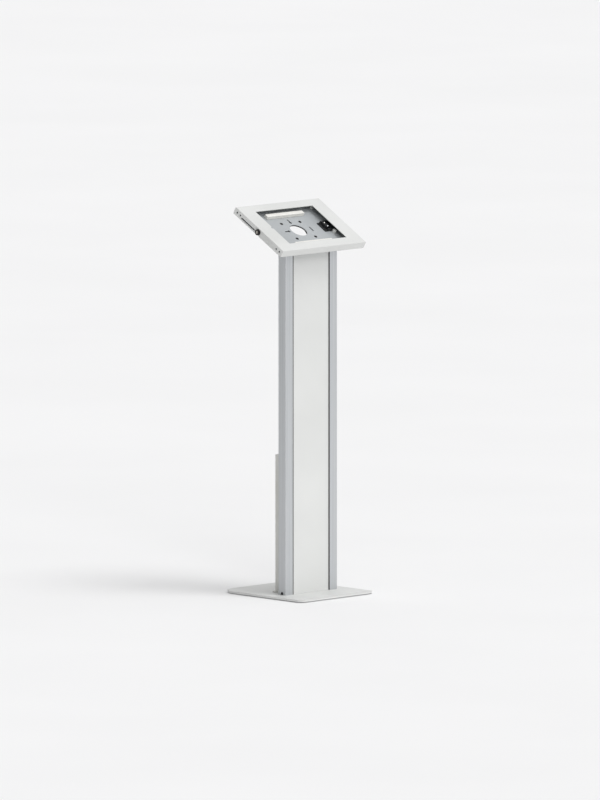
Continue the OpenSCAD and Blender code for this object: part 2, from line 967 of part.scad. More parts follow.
// Hole with a wide end towards the middle and a narrow end away from it, along +y
module keyhole() {
    wide_y = -keyhole_len / 2 + keyhole_d / 2;
    neck_y = keyhole_len / 2 - keyhole_neck / 2;
    translate([0, wide_y, -over])
        cylinder(r = keyhole_d / 2, h = sheet_t + 2 * over);
    translate([-keyhole_neck / 2, wide_y, -over])
        cube([keyhole_neck, neck_y - wide_y, sheet_t + 2 * over]);
    translate([0, neck_y, -over])
        cylinder(r = keyhole_neck / 2, h = sheet_t + 2 * over);
}

// Cuts for sound, buttons and the lock, through skirt and tray wall alike
module side_cuts() {
    depth = sheet_t * 2 + lid_gap + 2 * over;
    start = tray_out_x - sheet_t - over;
    both_sides()
        for (side = [-1, 1], y = sound_y)
            along_x(start, side * y, side_z)
                cylinder(r = sound_d / 2, h = depth);
    mirror([1, 0, 0]) {
        translate([start, access_start + access_h / 2, access_z - access_h / 2])
            cube([depth, access_len - access_h, access_h]);
        for (y = [access_start + access_h / 2, access_start + access_len - access_h / 2])
            along_x(start, y, access_z)
                cylinder(r = access_h / 2, h = depth);
    }
}

module at_hinges() {
    for (side = [-1, 1])
        translate([0, side * hinge_at, 0])
            children();
}

module at_tray_rivets() {
    at_hinges()
        for (y = rivet_y)
            translate([tray_rivet_x, y, 0])
                children();
}

module at_frame_rivets() {
    at_hinges()
        for (y = rivet_y)
            along_x(head_w / 2, y, frame_rivet_z)
                children();
}

module at_clamp_screws() {
    for (p = clamp_screw_xy)
        translate([p[0], p[1], 0])
            children();
}

// Open box folded from sheet, with its floor on z = 0
module open_box(half_x, half_y, height) {
    difference() {
        bent_block(half_x, half_y, height, bend_r + sheet_t);
        translate([0, 0, sheet_t])
            bent_block(half_x - sheet_t, half_y - sheet_t, height, bend_r);
    }
}

module tray_floor_cuts() {
    through = sheet_t + 2 * over;
    translate([0, 0, -over]) {
        cylinder(r = cable_hole_d / 2, h = through);
        at_mount_screws()
            cylinder(r = mount_screw_d / 2 + run_gap, h = through);
        at_tray_rivets()
            cylinder(r = rivet_r + run_gap, h = through);
        at_clamp_screws()
            cylinder(r = small_screw_d / 2 + run_gap, h = through);
        translate([clamp_at + guide_at, guide_y, 0])
            cylinder(r = guide_pin_r + run_gap, h = through);
        translate([tie_slot_at - keyhole_neck / 2, -keyhole_len / 2, 0])
            cube([keyhole_neck, keyhole_len, through]);
    }
    translate([0, keyhole_at, 0])
        keyhole();
    rotate([0, 0, 90])
        translate([0, keyhole_at, 0])
            keyhole();
}

module back_tray() {
    color("white")
        in_head()
            difference() {
                open_box(tray_out_x, tray_out_y, tray_top);
                tray_floor_cuts();
                side_cuts();
                along_x(-tray_out_x - over, 0, side_z)
                    cylinder(r = lock_barrel_d / 2 + run_gap, h = sheet_t + 2 * over);
            }
}

module mount_screws() {
    color("black")
        in_head()
            at_mount_screws()
                translate([0, 0, sheet_t]) {
                    button_screw(mount_screw_d, sheet_t + bracket_t + mount_screw_d + screw_tail);
                    cylinder(r = mount_flange_d / 2, h = mount_screw_d * flange_h_ratio);
                }
}

module mount_nuts() {
    color("silver")
        in_head()
            at_mount_screws()
                translate([0, 0, -bracket_t - mount_screw_d * nut_h_ratio])
                    hex_nut(mount_screw_d);
}

// Front frame: window plate with skirts down all four sides
module front_frame() {
    color("white")
        in_head()
            difference() {
                translate([0, 0, head_t])
                    mirror([0, 0, 1])
                        open_box(head_w / 2, head_h / 2, head_t - skirt_lift);
                translate([-window_w / 2, -window_h / 2, frame_under - over])
                    cube([window_w, window_h, sheet_t + 2 * over]);
                translate([-window_w / 2, 0, frame_under - over])
                    cylinder(r = camera_notch_r, h = sheet_t + 2 * over);
                side_cuts();
                // Open-ended notch that lets the skirt lift off the lock barrel
                along_x(-head_w / 2 - over, 0, side_z)
                    cylinder(r = lock_barrel_d / 2 + fit_gap, h = sheet_t + 2 * over);
                translate([-head_w / 2 - over, -lock_barrel_d / 2 - fit_gap, 0])
                    cube([sheet_t + 2 * over, lock_barrel_d + 2 * fit_gap, side_z]);
                at_frame_rivets()
                    translate([0, 0, -sheet_t - over])
                        cylinder(r = rivet_r + run_gap, h = sheet_t + 2 * over);
            }
}

// Hinges, in the enclosure's frame with y measured from the middle of the hinge

module knuckle(start, length) {
    along_y(hinge_x, start, 0)
        tube(knuckle_r, pin_r + run_gap, length);
}

module pin_channel() {
    along_y(hinge_x, -hinge_len, 0)
        cylinder(r = pin_r + run_gap, h = 2 * hinge_len);
}

module tray_leaf() {
    mid_half = knuckle_mid / 2;
    end_len = hinge_len / 2 - mid_half;
    color("silver")
        difference() {
            union() {
                translate([hinge_x - tray_leaf_w, -hinge_len / 2, -leaf_t])
                    cube([tray_leaf_w, hinge_len, leaf_t]);
                knuckle(mid_half, end_len);
                knuckle(-hinge_len / 2, end_len);
            }
            translate([hinge_x - knuckle_clear, -mid_half, -leaf_t - over])
                cube([knuckle_clear + over, knuckle_mid, leaf_t + 2 * over]);
            pin_channel();
            for (y = rivet_y)
                translate([tray_rivet_x, y, -leaf_t - over])
                    cylinder(r = rivet_r + run_gap, h = leaf_t + 2 * over);
        }
}

module frame_leaf() {
    mid_half = knuckle_mid / 2 - knuckle_gap;
    color("silver")
        difference() {
            union() {
                translate([head_w / 2, -hinge_len / 2, knuckle_clear])
                    cube([leaf_t, hinge_len, skirt_leaf_h - knuckle_clear]);
                translate([head_w / 2, -mid_half, skirt_lift])
                    cube([leaf_t, 2 * mid_half, skirt_leaf_h - skirt_lift]);
                knuckle(-mid_half, 2 * mid_half);
            }
            pin_channel();
            for (y = rivet_y)
                along_x(head_w / 2 - over, y, frame_rivet_z)
                    cylinder(r = rivet_r + run_gap, h = leaf_t + 2 * over);
        }
}

module upper_hinge_tray_leaf() {
    in_head()
        translate([0, hinge_at, 0])
            tray_leaf();
}

module lower_hinge_tray_leaf() {
    in_head()
        translate([0, -hinge_at, 0])
            tray_leaf();
}

module upper_hinge_frame_leaf() {
    in_head()
        translate([0, hinge_at, 0])
            frame_leaf();
}

module lower_hinge_frame_leaf() {
    in_head()
        translate([0, -hinge_at, 0])
            frame_leaf();
}

module hinge_pins() {
    color("gray")
        in_head()
            at_hinges()
                along_y(hinge_x, -hinge_len / 2, 0)
                    cylinder(r = pin_r, h = hinge_len);
}

// Rivets through the tray floor and the leaves under it, with a head on each end
module tray_rivets() {
    color("gray")
        in_head()
            at_tray_rivets() {
                translate([0, 0, -leaf_t - rivet_head_t])
                    cylinder(r = rivet_head_r, h = rivet_head_t);
                translate([0, 0, -leaf_t - rivet_head_t / 2])
                    cylinder(r = rivet_r, h = leaf_t + sheet_t + rivet_head_t);
                translate([0, 0, sheet_t])
                    cylinder(r = rivet_head_r, h = rivet_head_t);
            }
}

// Rivets through the skirt and the leaves on it, set flush inside the skirt
module frame_rivets() {
    color("gray")
        in_head()
            at_frame_rivets() {
                translate([0, 0, leaf_t])
                    cylinder(r = rivet_head_r, h = rivet_head_t);
                translate([0, 0, -sheet_t])
                    cylinder(r = rivet_r, h = sheet_t + leaf_t + rivet_head_t / 2);
            }
}

// Lock

module lock_barrel() {
    color("black")
        in_head()
            difference() {
                union() {
                    along_x(lock_face_x + lock_head_t, 0, side_z)
                        mirror([0, 0, 1])
                            chamfered_cylinder(lock_head_d / 2, lock_head_t, lock_edge);
                    intersection() {
                        along_x(lock_face_x + lock_head_t / 2, 0, side_z)
                            cylinder(r = lock_barrel_d / 2, h = lock_len + lock_head_t / 2);
                        union() {
                            translate([lock_face_x, -lock_barrel_d / 2, 0])
                                cube([-tray_out_x + sheet_t - lock_face_x, lock_barrel_d, head_t]);
                            translate([lock_face_x, -barrel_flat / 2, 0])
                                cube([lock_len + lock_head_t + over, barrel_flat, head_t]);
                        }
                    }
                }
                along_x(lock_face_x - over, 0, side_z)
                    cylinder(r = lock_plug_d / 2 + run_gap, h = lock_len + lock_head_t + 2 * over);
            }
}

// Horseshoe clip that grips the barrel's flats behind the tray wall
module lock_clip() {
    clip_w = lock_barrel_d + 2 * clip_reach;
    clip_half_z = lock_barrel_d / 2 + clip_overlap;
    color("silver")
        in_head()
            translate([-tray_out_x + sheet_t, 0, side_z])
                difference() {
                    translate([0, -clip_w / 2, -clip_half_z])
                        cube([clip_t, clip_w, 2 * clip_half_z]);
                    translate([-over, -barrel_flat / 2 - run_gap, -clip_half_z - over])
                        cube([
                            clip_t + 2 * over,
                            barrel_flat + 2 * run_gap,
                            clip_half_z + over + lock_barrel_d / 2
                        ]);
                }
}

module lock_plug() {
    plug_len = lock_end_x - lock_face_x;
    color("silver")
        in_head()
            difference() {
                union() {
                    along_x(lock_face_x, 0, side_z)
                        cylinder(r = lock_plug_d / 2, h = plug_len);
                    translate([lock_end_x - over, -drive_w / 2, side_z - drive_w / 2])
                        cube([drive_end_x - lock_end_x + over, drive_w, drive_w]);
                }
                along_x(lock_face_x - over, 0, side_z)
                    tube(keyway_d / 2, keyway_d / 2 - keyway_w, keyway_deep + over);
                along_x(drive_end_x - cam_screw_len - screw_tail, 0, side_z)
                    cylinder(r = small_screw_d / 2 + run_gap, h = cam_screw_len + screw_tail + over);
            }
}

// Cam at rest points up to the front frame, where it holds nothing
module lock_cam() {
    tip_r = cam_w / 2;
    color("silver")
        in_head()
            difference() {
                union() {
                    along_x(cam_x, 0, side_z)
                        cylinder(r = cam_hub_r, h = cam_t);
                    translate([cam_x, -tip_r, side_z])
                        cube([cam_t, cam_w, cam_reach - tip_r]);
                    along_x(cam_x, 0, side_z + cam_reach - tip_r)
                        cylinder(r = tip_r, h = cam_t);
                }
                translate([cam_x - over, -drive_w / 2 - run_gap, side_z - drive_w / 2 - run_gap])
                    cube([cam_t + 2 * over, drive_w + 2 * run_gap, drive_w + 2 * run_gap]);
            }
}

module cam_screw() {
    color("dimgray")
        in_head()
            along_x(drive_end_x, 0, side_z)
                button_screw(small_screw_d, cam_screw_len);
}

// Hook under the front frame, with a lip that the turned cam catches
module lock_hook() {
    lip_y = cam_hub_r + lip_gap;
    lip_len = cam_t + hook_clear;
    color("silver")
        in_head()
            translate([cam_x + hook_start_gap, 0, 0]) {
                translate([0, hook_y, hook_bottom_z])
                    cube([hook_len, hook_t, frame_under - hook_bottom_z]);
                translate([0, hook_y, frame_under - hook_lip_t])
                    cube([hook_len, hook_foot_len, hook_lip_t]);
                translate([0, lip_y, hook_bottom_z])
                    cube([lip_len, hook_y + hook_t - lip_y, hook_lip_t]);
            }
}

// Tablet bay

module foam_bar() {
    color("gainsboro")
        translate([0, 0, sheet_t])
            centred_box(foam_len, foam_w, foam_h);
}

module upper_foam_bar() {
    in_head()
        translate([0, foam_at, 0])
            foam_bar();
}

module lower_foam_bar() {
    in_head()
        translate([0, -foam_at, 0])
            foam_bar();
}

module corner_stops() {
    color("gainsboro")
        in_head()
            for (x = [-1, 1], y = [-1, 1])
                translate([x * stop_x, y * stop_y, sheet_t])
                    chamfered_cylinder(stop_d / 2, stop_h, stop_edge);
}

// Lead clamp

module clamp_base() {
    color("black")
        in_head()
            difference() {
                translate([clamp_at, 0, sheet_t]) {
                    translate([0, -clamp_w / 2, 0])
                        cube([clamp_len, clamp_w, clamp_t]);
                    for (side = [-1, 1])
                        translate([saddle_at, side * (clamp_w - rail_w) / 2 - rail_w / 2, 0])
                            cube([clamp_len - saddle_at, rail_w, clamp_t + rail_h]);
                }
                translate([saddle_x + saddle_len + view_gap, -view_w / 2, sheet_t - over])
                    cube([view_len, view_w, clamp_t + 2 * over]);
                at_clamp_screws()
                    cylinder(r = small_screw_d / 2 + run_gap, h = clamp_top_z + over);
                for (side = [-1, 1])
                    translate([saddle_x + saddle_len / 2, side * saddle_screw_at, sheet_t])
                        cylinder(r = small_screw_d / 2 + run_gap, h = clamp_t + over);
            }
}

module clamp_saddle() {
    color("dimgray")
        in_head()
            difference() {
                translate([saddle_x, -saddle_w / 2, clamp_top_z])
                    cube([saddle_len, saddle_w, saddle_h]);
                along_x(saddle_x - over, 0, clamp_top_z + saddle_h / 2)
                    cylinder(r = lead_bore / 2, h = saddle_len + 2 * over);
                for (side = [-1, 1])
                    translate([saddle_x + saddle_len / 2, side * saddle_screw_at, clamp_top_z - over])
                        cylinder(r = small_screw_d / 2 + run_gap, h = saddle_h + 2 * over);
            }
}

module clamp_screws() {
    color("black")
        in_head()
            at_clamp_screws()
                translate([0, 0, clamp_top_z])
                    button_screw(small_screw_d, clamp_t + sheet_t + screw_tail);
}

module saddle_screws() {
    color("silver")
        in_head()
            for (side = [-1, 1])
                translate([saddle_x + saddle_len / 2, side * saddle_screw_at, clamp_top_z + saddle_h])
                    button_screw(small_screw_d, saddle_h + clamp_t - run_gap);
}

// Round post that the lead turns around, with a pin through the tray floor
module lead_guide() {
    color("gainsboro")
        in_head()
            translate([clamp_at + guide_at, guide_y, 0]) {
                translate([0, 0, sheet_t])
                    cylinder(r = guide_d / 2, h = guide_h);
                cylinder(r = guide_pin_r, h = sheet_t + over);
            }
}

base_plate();
base_pads();
base_bracket();
base_screws();
base_nuts();
left_post();
right_post();
post_inserts();
post_screws();
front_panel();
rear_panel();
panel_strips();
left_post_cap();
right_post_cap();
top_bracket();
rear_cover();
cover_magnets();
cable_grommet();
head_bracket();
head_bracket_screws();
head_bracket_nuts();
back_tray();
mount_screws();
mount_nuts();
front_frame();
upper_hinge_tray_leaf();
lower_hinge_tray_leaf();
upper_hinge_frame_leaf();
lower_hinge_frame_leaf();
hinge_pins();
tray_rivets();
frame_rivets();
lock_barrel();
lock_clip();
lock_plug();
lock_cam();
cam_screw();
lock_hook();
upper_foam_bar();
lower_foam_bar();
corner_stops();
clamp_base();
clamp_saddle();
clamp_screws();
saddle_screws();
lead_guide();
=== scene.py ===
"""Looks of a free-standing tablet kiosk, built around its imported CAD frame.

The CAD nodes keep their shapes and get their finishes here. The turned, moulded and soft pieces that
the solids leave plain are made again with their real rounding, and ride on the same bodies.
Sizes in the dataclasses are millimetres where they say nothing else, and meshes are metres in the CAD frame.
"""

from __future__ import annotations

import json
import logging
import math
from abc import ABC, abstractmethod
from collections.abc import Mapping, Sequence
from dataclasses import dataclass
from enum import Enum
from typing import Any

import bpy
import numpy as np
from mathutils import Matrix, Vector

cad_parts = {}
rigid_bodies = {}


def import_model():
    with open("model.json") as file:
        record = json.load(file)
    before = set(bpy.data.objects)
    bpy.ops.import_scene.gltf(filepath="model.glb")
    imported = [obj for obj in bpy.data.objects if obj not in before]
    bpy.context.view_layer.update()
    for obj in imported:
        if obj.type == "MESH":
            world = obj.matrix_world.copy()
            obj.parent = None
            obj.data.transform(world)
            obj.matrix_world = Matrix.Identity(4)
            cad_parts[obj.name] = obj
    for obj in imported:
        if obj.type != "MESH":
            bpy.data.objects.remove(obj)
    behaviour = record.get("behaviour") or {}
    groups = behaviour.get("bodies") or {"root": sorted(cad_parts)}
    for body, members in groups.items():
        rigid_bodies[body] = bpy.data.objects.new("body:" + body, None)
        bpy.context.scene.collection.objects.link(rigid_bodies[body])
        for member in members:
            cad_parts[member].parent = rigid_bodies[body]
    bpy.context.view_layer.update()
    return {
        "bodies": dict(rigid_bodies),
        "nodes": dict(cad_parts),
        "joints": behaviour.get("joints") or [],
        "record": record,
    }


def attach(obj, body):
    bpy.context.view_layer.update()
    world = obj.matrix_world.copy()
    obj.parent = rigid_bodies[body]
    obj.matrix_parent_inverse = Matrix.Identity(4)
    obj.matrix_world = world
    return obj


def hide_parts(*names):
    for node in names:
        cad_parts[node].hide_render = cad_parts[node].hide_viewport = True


LOG = logging.getLogger("kiosk")
Array = np.ndarray
Value = Any
Pair = tuple[float, float]
Triple = tuple[float, float, float]
MM = 0.001
FULL_TURN = 2.0 * math.pi
# Points around a turned piece
ROUND_SIDES = 48
# Inputs of a Mix node for colours: how far it goes, from what and to what
MIX_SHARE, MIX_FROM, MIX_TO = 0, 6, 7
# Levels that nearly all of a noise texture lies between
NOISE_SPAN = (0.3, 0.7)
# Cosines of the turn of a rounded edge between which the edge's own colour comes in
EDGE_TURN = (0.99, 0.8)
# Rays that find the rounding of an edge
EDGE_RAYS = 6
# Radians that a wave texture runs through for each unit of its scale
WAVE_TURN = 20.0


class Body(Enum):
    """The rigid bodies that pieces ride on."""

    STAND = "stand"
    LID = "lid"
    LOCK_CORE = "lock_core"
    REAR_COVER = "rear_cover"


class Slot(Enum):
    """The record's material slots."""

    WHITE_COAT = "powder_coated_steel"
    GREY_COAT = "grey_coated_steel"
    BLACK_COAT = "black_coated_steel"
    PANEL_COAT = "coated_panel_aluminium"
    ANODISED = "anodised_aluminium"
    WHITE_PLASTIC = "moulded_white_plastic"
    GREY_PLASTIC = "moulded_grey_plastic"
    BLACK_PLASTIC = "black_plastic"
    RUBBER = "black_rubber"
    FOAM = "pale_foam"
    ZINC = "zinc_steel"
    BLACK_OXIDE = "black_oxide_steel"
    NICKEL = "nickel_plated_brass"


def srgb(code: str) -> tuple[float, float, float, float]:
    """Turns an sRGB hex value into a linear colour, by the curve of the sRGB standard.

    Args:
        code: Colour such as "#f2f2ef".

    Returns:
        Linear red, green, blue and an alpha of 1.
    """
    channel = np.array([int(code[i : i + 2], 16) for i in (1, 3, 5)]) / 255.0
    linear = np.where(channel <= 0.04045, channel / 12.92, ((channel + 0.055) / 1.055) ** 2.4)
    return (*linear.tolist(), 1.0)


def per_metre(size_mm: float) -> float:
    """Texture scale that gives features of the given size in millimetres."""
    return 1.0 / (size_mm * MM)


def add(
    tree: bpy.types.NodeTree,
    kind: str,
    inputs: Mapping[str | int, Value] | Sequence[Value] = (),
    **settings: Value,
) -> bpy.types.Node:
    """Adds one shader node with its settings, values and links.

    Args:
        tree: Node tree that the node goes into.
        kind: Blender's name for the kind of node.
        inputs: What each input gets, by name or number or else in order: a value, an output socket, or a
            node, which stands for its first output in use.
        **settings: Properties of the node itself.

    Returns:
        The new node.
    """
    made = tree.nodes.new(kind)
    for key, value in settings.items():
        setattr(made, key, value)
    for key, value in inputs.items() if isinstance(inputs, Mapping) else enumerate(inputs):
        if isinstance(value, bpy.types.Node):
            tree.links.new(next(out for out in value.outputs if out.enabled), made.inputs[key])
        elif isinstance(value, bpy.types.NodeSocket):
            tree.links.new(value, made.inputs[key])
        else:
            made.inputs[key].default_value = value
    return made


@dataclass(frozen=True)
class Finish(ABC):
    """A real material and how its surface was made.

    Attributes:
        name: Name of the Blender material.
        colour: Main colour as sRGB hex.
        shade: Second colour that the surface drifts towards.
    """

    name: str
    colour: str
    shade: str

    @abstractmethod
    def surface(self, tree: bpy.types.NodeTree, where: bpy.types.NodeSocket) -> dict[str, Value]:
        """Lays out the pattern nodes.

        Args:
            tree: Node tree of the material.
            where: Object coordinates, in metres.

        Returns:
            Values and links for the Principled shader.
        """

    def material(self) -> bpy.types.Material:
        """Makes the material once and returns it."""
        found = bpy.data.materials.get(self.name)
        if found is not None:
            return found
        made = bpy.data.materials.new(self.name)
        made.use_nodes = True
        tree = made.node_tree
        tree.nodes.clear()
        where = add(tree, "ShaderNodeTexCoord").outputs["Object"]
        shader = add(tree, "ShaderNodeBsdfPrincipled", self.surface(tree, where))
        add(tree, "ShaderNodeOutputMaterial", {"Surface": shader})
        return made


@dataclass(frozen=True)
class Skin(Finish):
    """Satin skin that drifts in tone, has a fine grain, and changes along its edges.

    Attributes:
        edge: Colour that shows along the edges.
        edge_mm: Radius of the rounded edges.
        edge_share: How far the edges go towards their colour, from 0 to 1.
        drift_mm: Size of the drift in tone.
        grain_mm: Size of the grain, drawn several times coarser than life so that it shows.
        grain_deep_mm: Depth of the grain.
        relief: Share of that depth that shows.
        stretch: Size of drift and grain along the three axes, relative to those sizes.
        roughness: Least and greatest roughness.
        metallic: Share of metal in the look of the skin.
    """

    edge: str = "#808386"
    edge_mm: float = 1.0
    edge_share: float = 0.6
    drift_mm: float = 140.0
    grain_mm: float = 2.2
    grain_deep_mm: float = 0.02
    relief: float = 0.5
    stretch: Triple = (1.0, 1.0, 1.0)
    roughness: Pair = (0.38, 0.5)
    metallic: float = 0.0

    def surface(self, tree: bpy.types.NodeTree, where: bpy.types.NodeSocket) -> dict[str, Value]:
        """Lays drift and grain over the skin, and rounds and greys its edges."""
        shrink = tuple(1.0 / size for size in self.stretch)
        along = add(tree, "ShaderNodeMapping", {"Vector": where, "Scale": shrink})
        drift = add(tree, "ShaderNodeTexNoise", {"Vector": along, "Scale": per_metre(self.drift_mm)})
        grain = add(tree, "ShaderNodeTexNoise", {"Vector": along, "Scale": per_metre(self.grain_mm)})
        rounded = add(tree, "ShaderNodeBevel", {"Radius": self.edge_mm * MM}, samples=EDGE_RAYS)
        flat = add(tree, "ShaderNodeNewGeometry").outputs["Normal"]
        turn = add(tree, "ShaderNodeVectorMath", [rounded, flat], operation="DOT_PRODUCT")
        # The edge colour comes in along rounded edges: edge wear on most skins, painted shade on the anodised
        # corners.
        edge_wear_and_shade = add(tree, "ShaderNodeMapRange", [turn, *EDGE_TURN, 0.0, self.edge_share])
        tone = add(tree, "ShaderNodeMapRange", [drift, *NOISE_SPAN])
        tints = {MIX_SHARE: tone, MIX_FROM: srgb(self.colour), MIX_TO: srgb(self.shade)}
        skin = add(tree, "ShaderNodeMix", tints, data_type="RGBA")
        edges = {MIX_SHARE: edge_wear_and_shade, MIX_FROM: skin, MIX_TO: srgb(self.edge)}
        depth = self.grain_deep_mm * MM
        relief = {"Strength": self.relief, "Distance": depth, "Height": grain, "Normal": rounded}
        return {
            "Base Color": add(tree, "ShaderNodeMix", edges, data_type="RGBA"),
            "Metallic": self.metallic,
            "Roughness": add(tree, "ShaderNodeMapRange", [grain, *NOISE_SPAN, *self.roughness]),
            "Normal": add(tree, "ShaderNodeBump", relief),
        }


@dataclass(frozen=True)
class PowderCoat(Skin):
    """Powder coat baked on steel.

    The powder melts into a satin skin with a fine orange peel, and draws back from sharp edges as it
    cures, so the grey of the steel shows through there as a thin line.
    """


@dataclass(frozen=True)
class BakedCoat(Skin):
    """Wet coat baked on flat aluminium before it is cut.

    It levels out smoother and glossier than powder, and the cut edges are bare metal.
    """

    edge: str = "#9fa2a4"
    edge_mm: float = 0.5
    drift_mm: float = 220.0
    grain_mm: float = 4.0
    grain_deep_mm: float = 0.01
    roughness: Pair = (0.3, 0.38)


@dataclass(frozen=True)
class MouldedPlastic(Skin):
    """Injection-moulded plastic.

    The skin copies the spark-eroded grain of its tool, and handling polishes its edges.
    """

    edge_mm: float = 0.5
    grain_mm: float = 1.4
    grain_deep_mm: float = 0.03
    roughness: Pair = (0.42, 0.56)


@dataclass(frozen=True)
class DrawnMetal(Skin):
    """Aluminium drawn through a die, etched matt and anodised.

    The die leaves fine straight lines along z, so the surface shows soft streaks and a slightly uneven
    gloss. The thin darker line along the corners is painted shade.
    """

    # Painted shade: this edge colour darkens the corners in a thin line.
    edge: str = "#6f7376"
    edge_mm: float = 0.9
    edge_share: float = 0.7
    drift_mm: float = 3.0
    grain_mm: float = 3.0
    grain_deep_mm: float = 0.008
    stretch: Triple = (1.0, 1.0, 200.0)
    roughness: Pair = (0.44, 0.54)
    metallic: float = 1.0


@dataclass(frozen=True)
class PlatedSteel(Finish):
    """Small steel parts from a plating or blackening bath.

    The bath leaves a thin film whose tint wanders over a few millimetres, on a surface that keeps the
    slight roughness of tumbling.

    Attributes:
        metallic: Share of metal in the look of the film.
        cloud_mm: Size of the clouds of tint.
        tumble_deep_mm: Depth of the marks of tumbling.
        relief: Share of that depth that shows.
        roughness: Least and greatest roughness.
    """

    metallic: float = 1.0
    cloud_mm: float = 5.0
    tumble_deep_mm: float = 0.02
    relief: float = 0.2
    roughness: Pair = (0.24, 0.42)

    def surface(self, tree: bpy.types.NodeTree, where: bpy.types.NodeSocket) -> dict[str, Value]:
        """Lays clouds of tint with a gloss that follows them."""
        cloud = add(tree, "ShaderNodeTexNoise", {"Vector": where, "Scale": per_metre(self.cloud_mm)})
        tint = add(tree, "ShaderNodeMapRange", [cloud, *NOISE_SPAN])
        tints = {MIX_SHARE: tint, MIX_FROM: srgb(self.colour), MIX_TO: srgb(self.shade)}
        relief = {"Strength": self.relief, "Distance": self.tumble_deep_mm * MM, "Height": cloud}
        return {
            "Base Color": add(tree, "ShaderNodeMix", tints, data_type="RGBA"),
            "Metallic": self.metallic,
            "Roughness": add(tree, "ShaderNodeMapRange", [cloud, *NOISE_SPAN, *self.roughness]),
            "Normal": add(tree, "ShaderNodeBump", relief),
        }


@dataclass(frozen=True)
class TurnedPlate(Finish):
    """Turned brass with a satin nickel plate, so its gloss runs in rings around the lathe's axis.

    Attributes:
        axis_point: A point on the turning axis, which runs along x, in metres.
        ring_mm: Spacing of the turning marks, drawn coarser than life so that they show.
        ring_deep_mm: Depth of the marks.
        relief: Share of that depth that shows.
        wander: How far the marks stray from true rings.
        roughness: Least and greatest roughness.
    """

    axis_point: Triple = (0.0, 0.0, 0.0)
    ring_mm: float = 1.2
    ring_deep_mm: float = 0.02
    relief: float = 0.25
    wander: float = 0.4
    roughness: Pair = (0.22, 0.34)

    def surface(self, tree: bpy.types.NodeTree, where: bpy.types.NodeSocket) -> dict[str, Value]:
        """Lays rings around the axis, each a full turn of the wave."""
        back = tuple(-c for c in self.axis_point)
        centred = add(tree, "ShaderNodeMapping", {"Vector": where, "Location": back})
        scale = per_metre(self.ring_mm) * FULL_TURN / WAVE_TURN
        wave = {"Vector": centred, "Scale": scale, "Distortion": self.wander}
        rings = add(tree, "ShaderNodeTexWave", wave, wave_type="RINGS", rings_direction="X")
        level = rings.outputs["Fac"]
        tints = {MIX_SHARE: level, MIX_FROM: srgb(self.colour), MIX_TO: srgb(self.shade)}
        relief = {"Strength": self.relief, "Distance": self.ring_deep_mm * MM, "Height": level}
        return {
            "Base Color": add(tree, "ShaderNodeMix", tints, data_type="RGBA"),
            "Metallic": 1.0,
            "Roughness": add(tree, "ShaderNodeMapRange", [level, 0.0, 1.0, *self.roughness]),
            "Normal": add(tree, "ShaderNodeBump", relief),
        }


@dataclass(frozen=True)
class MouldedRubber(Finish):
    """Black rubber, dull from the mould, with a pale bloom of wax in patches.

    Attributes:
        bloom_mm: Size of the patches of bloom.
        bloom_span: Levels of the noise between which the bloom comes in.
        pore_mm: Size of the pores, drawn coarser than life so that they show.
        pore_deep_mm: Depth of the pores.
        relief: Share of that depth that shows.
        roughness: Least and greatest roughness.
        ior: Index of refraction.
    """

    bloom_mm: float = 18.0
    bloom_span: Pair = (0.45, 0.75)
    pore_mm: float = 0.7
    pore_deep_mm: float = 0.05
    relief: float = 0.3
    roughness: Pair = (0.62, 0.85)
    ior: float = 1.52

    def surface(self, tree: bpy.types.NodeTree, where: bpy.types.NodeSocket) -> dict[str, Value]:
        """Lays bloom and pores over the rubber."""
        bloom = add(tree, "ShaderNodeTexNoise", {"Vector": where, "Scale": per_metre(self.bloom_mm)})
        pores = add(tree, "ShaderNodeTexVoronoi", {"Vector": where, "Scale": per_metre(self.pore_mm)})
        haze = add(tree, "ShaderNodeMapRange", [bloom, *self.bloom_span])
        tints = {MIX_SHARE: haze, MIX_FROM: srgb(self.colour), MIX_TO: srgb(self.shade)}
        relief = {"Strength": self.relief, "Distance": self.pore_deep_mm * MM, "Height": pores}
        return {
            "Base Color": add(tree, "ShaderNodeMix", tints, data_type="RGBA"),
            "Roughness": add(tree, "ShaderNodeMapRange", [bloom, *NOISE_SPAN, *self.roughness]),
            "IOR": self.ior,
            "Normal": add(tree, "ShaderNodeBump", relief),
        }


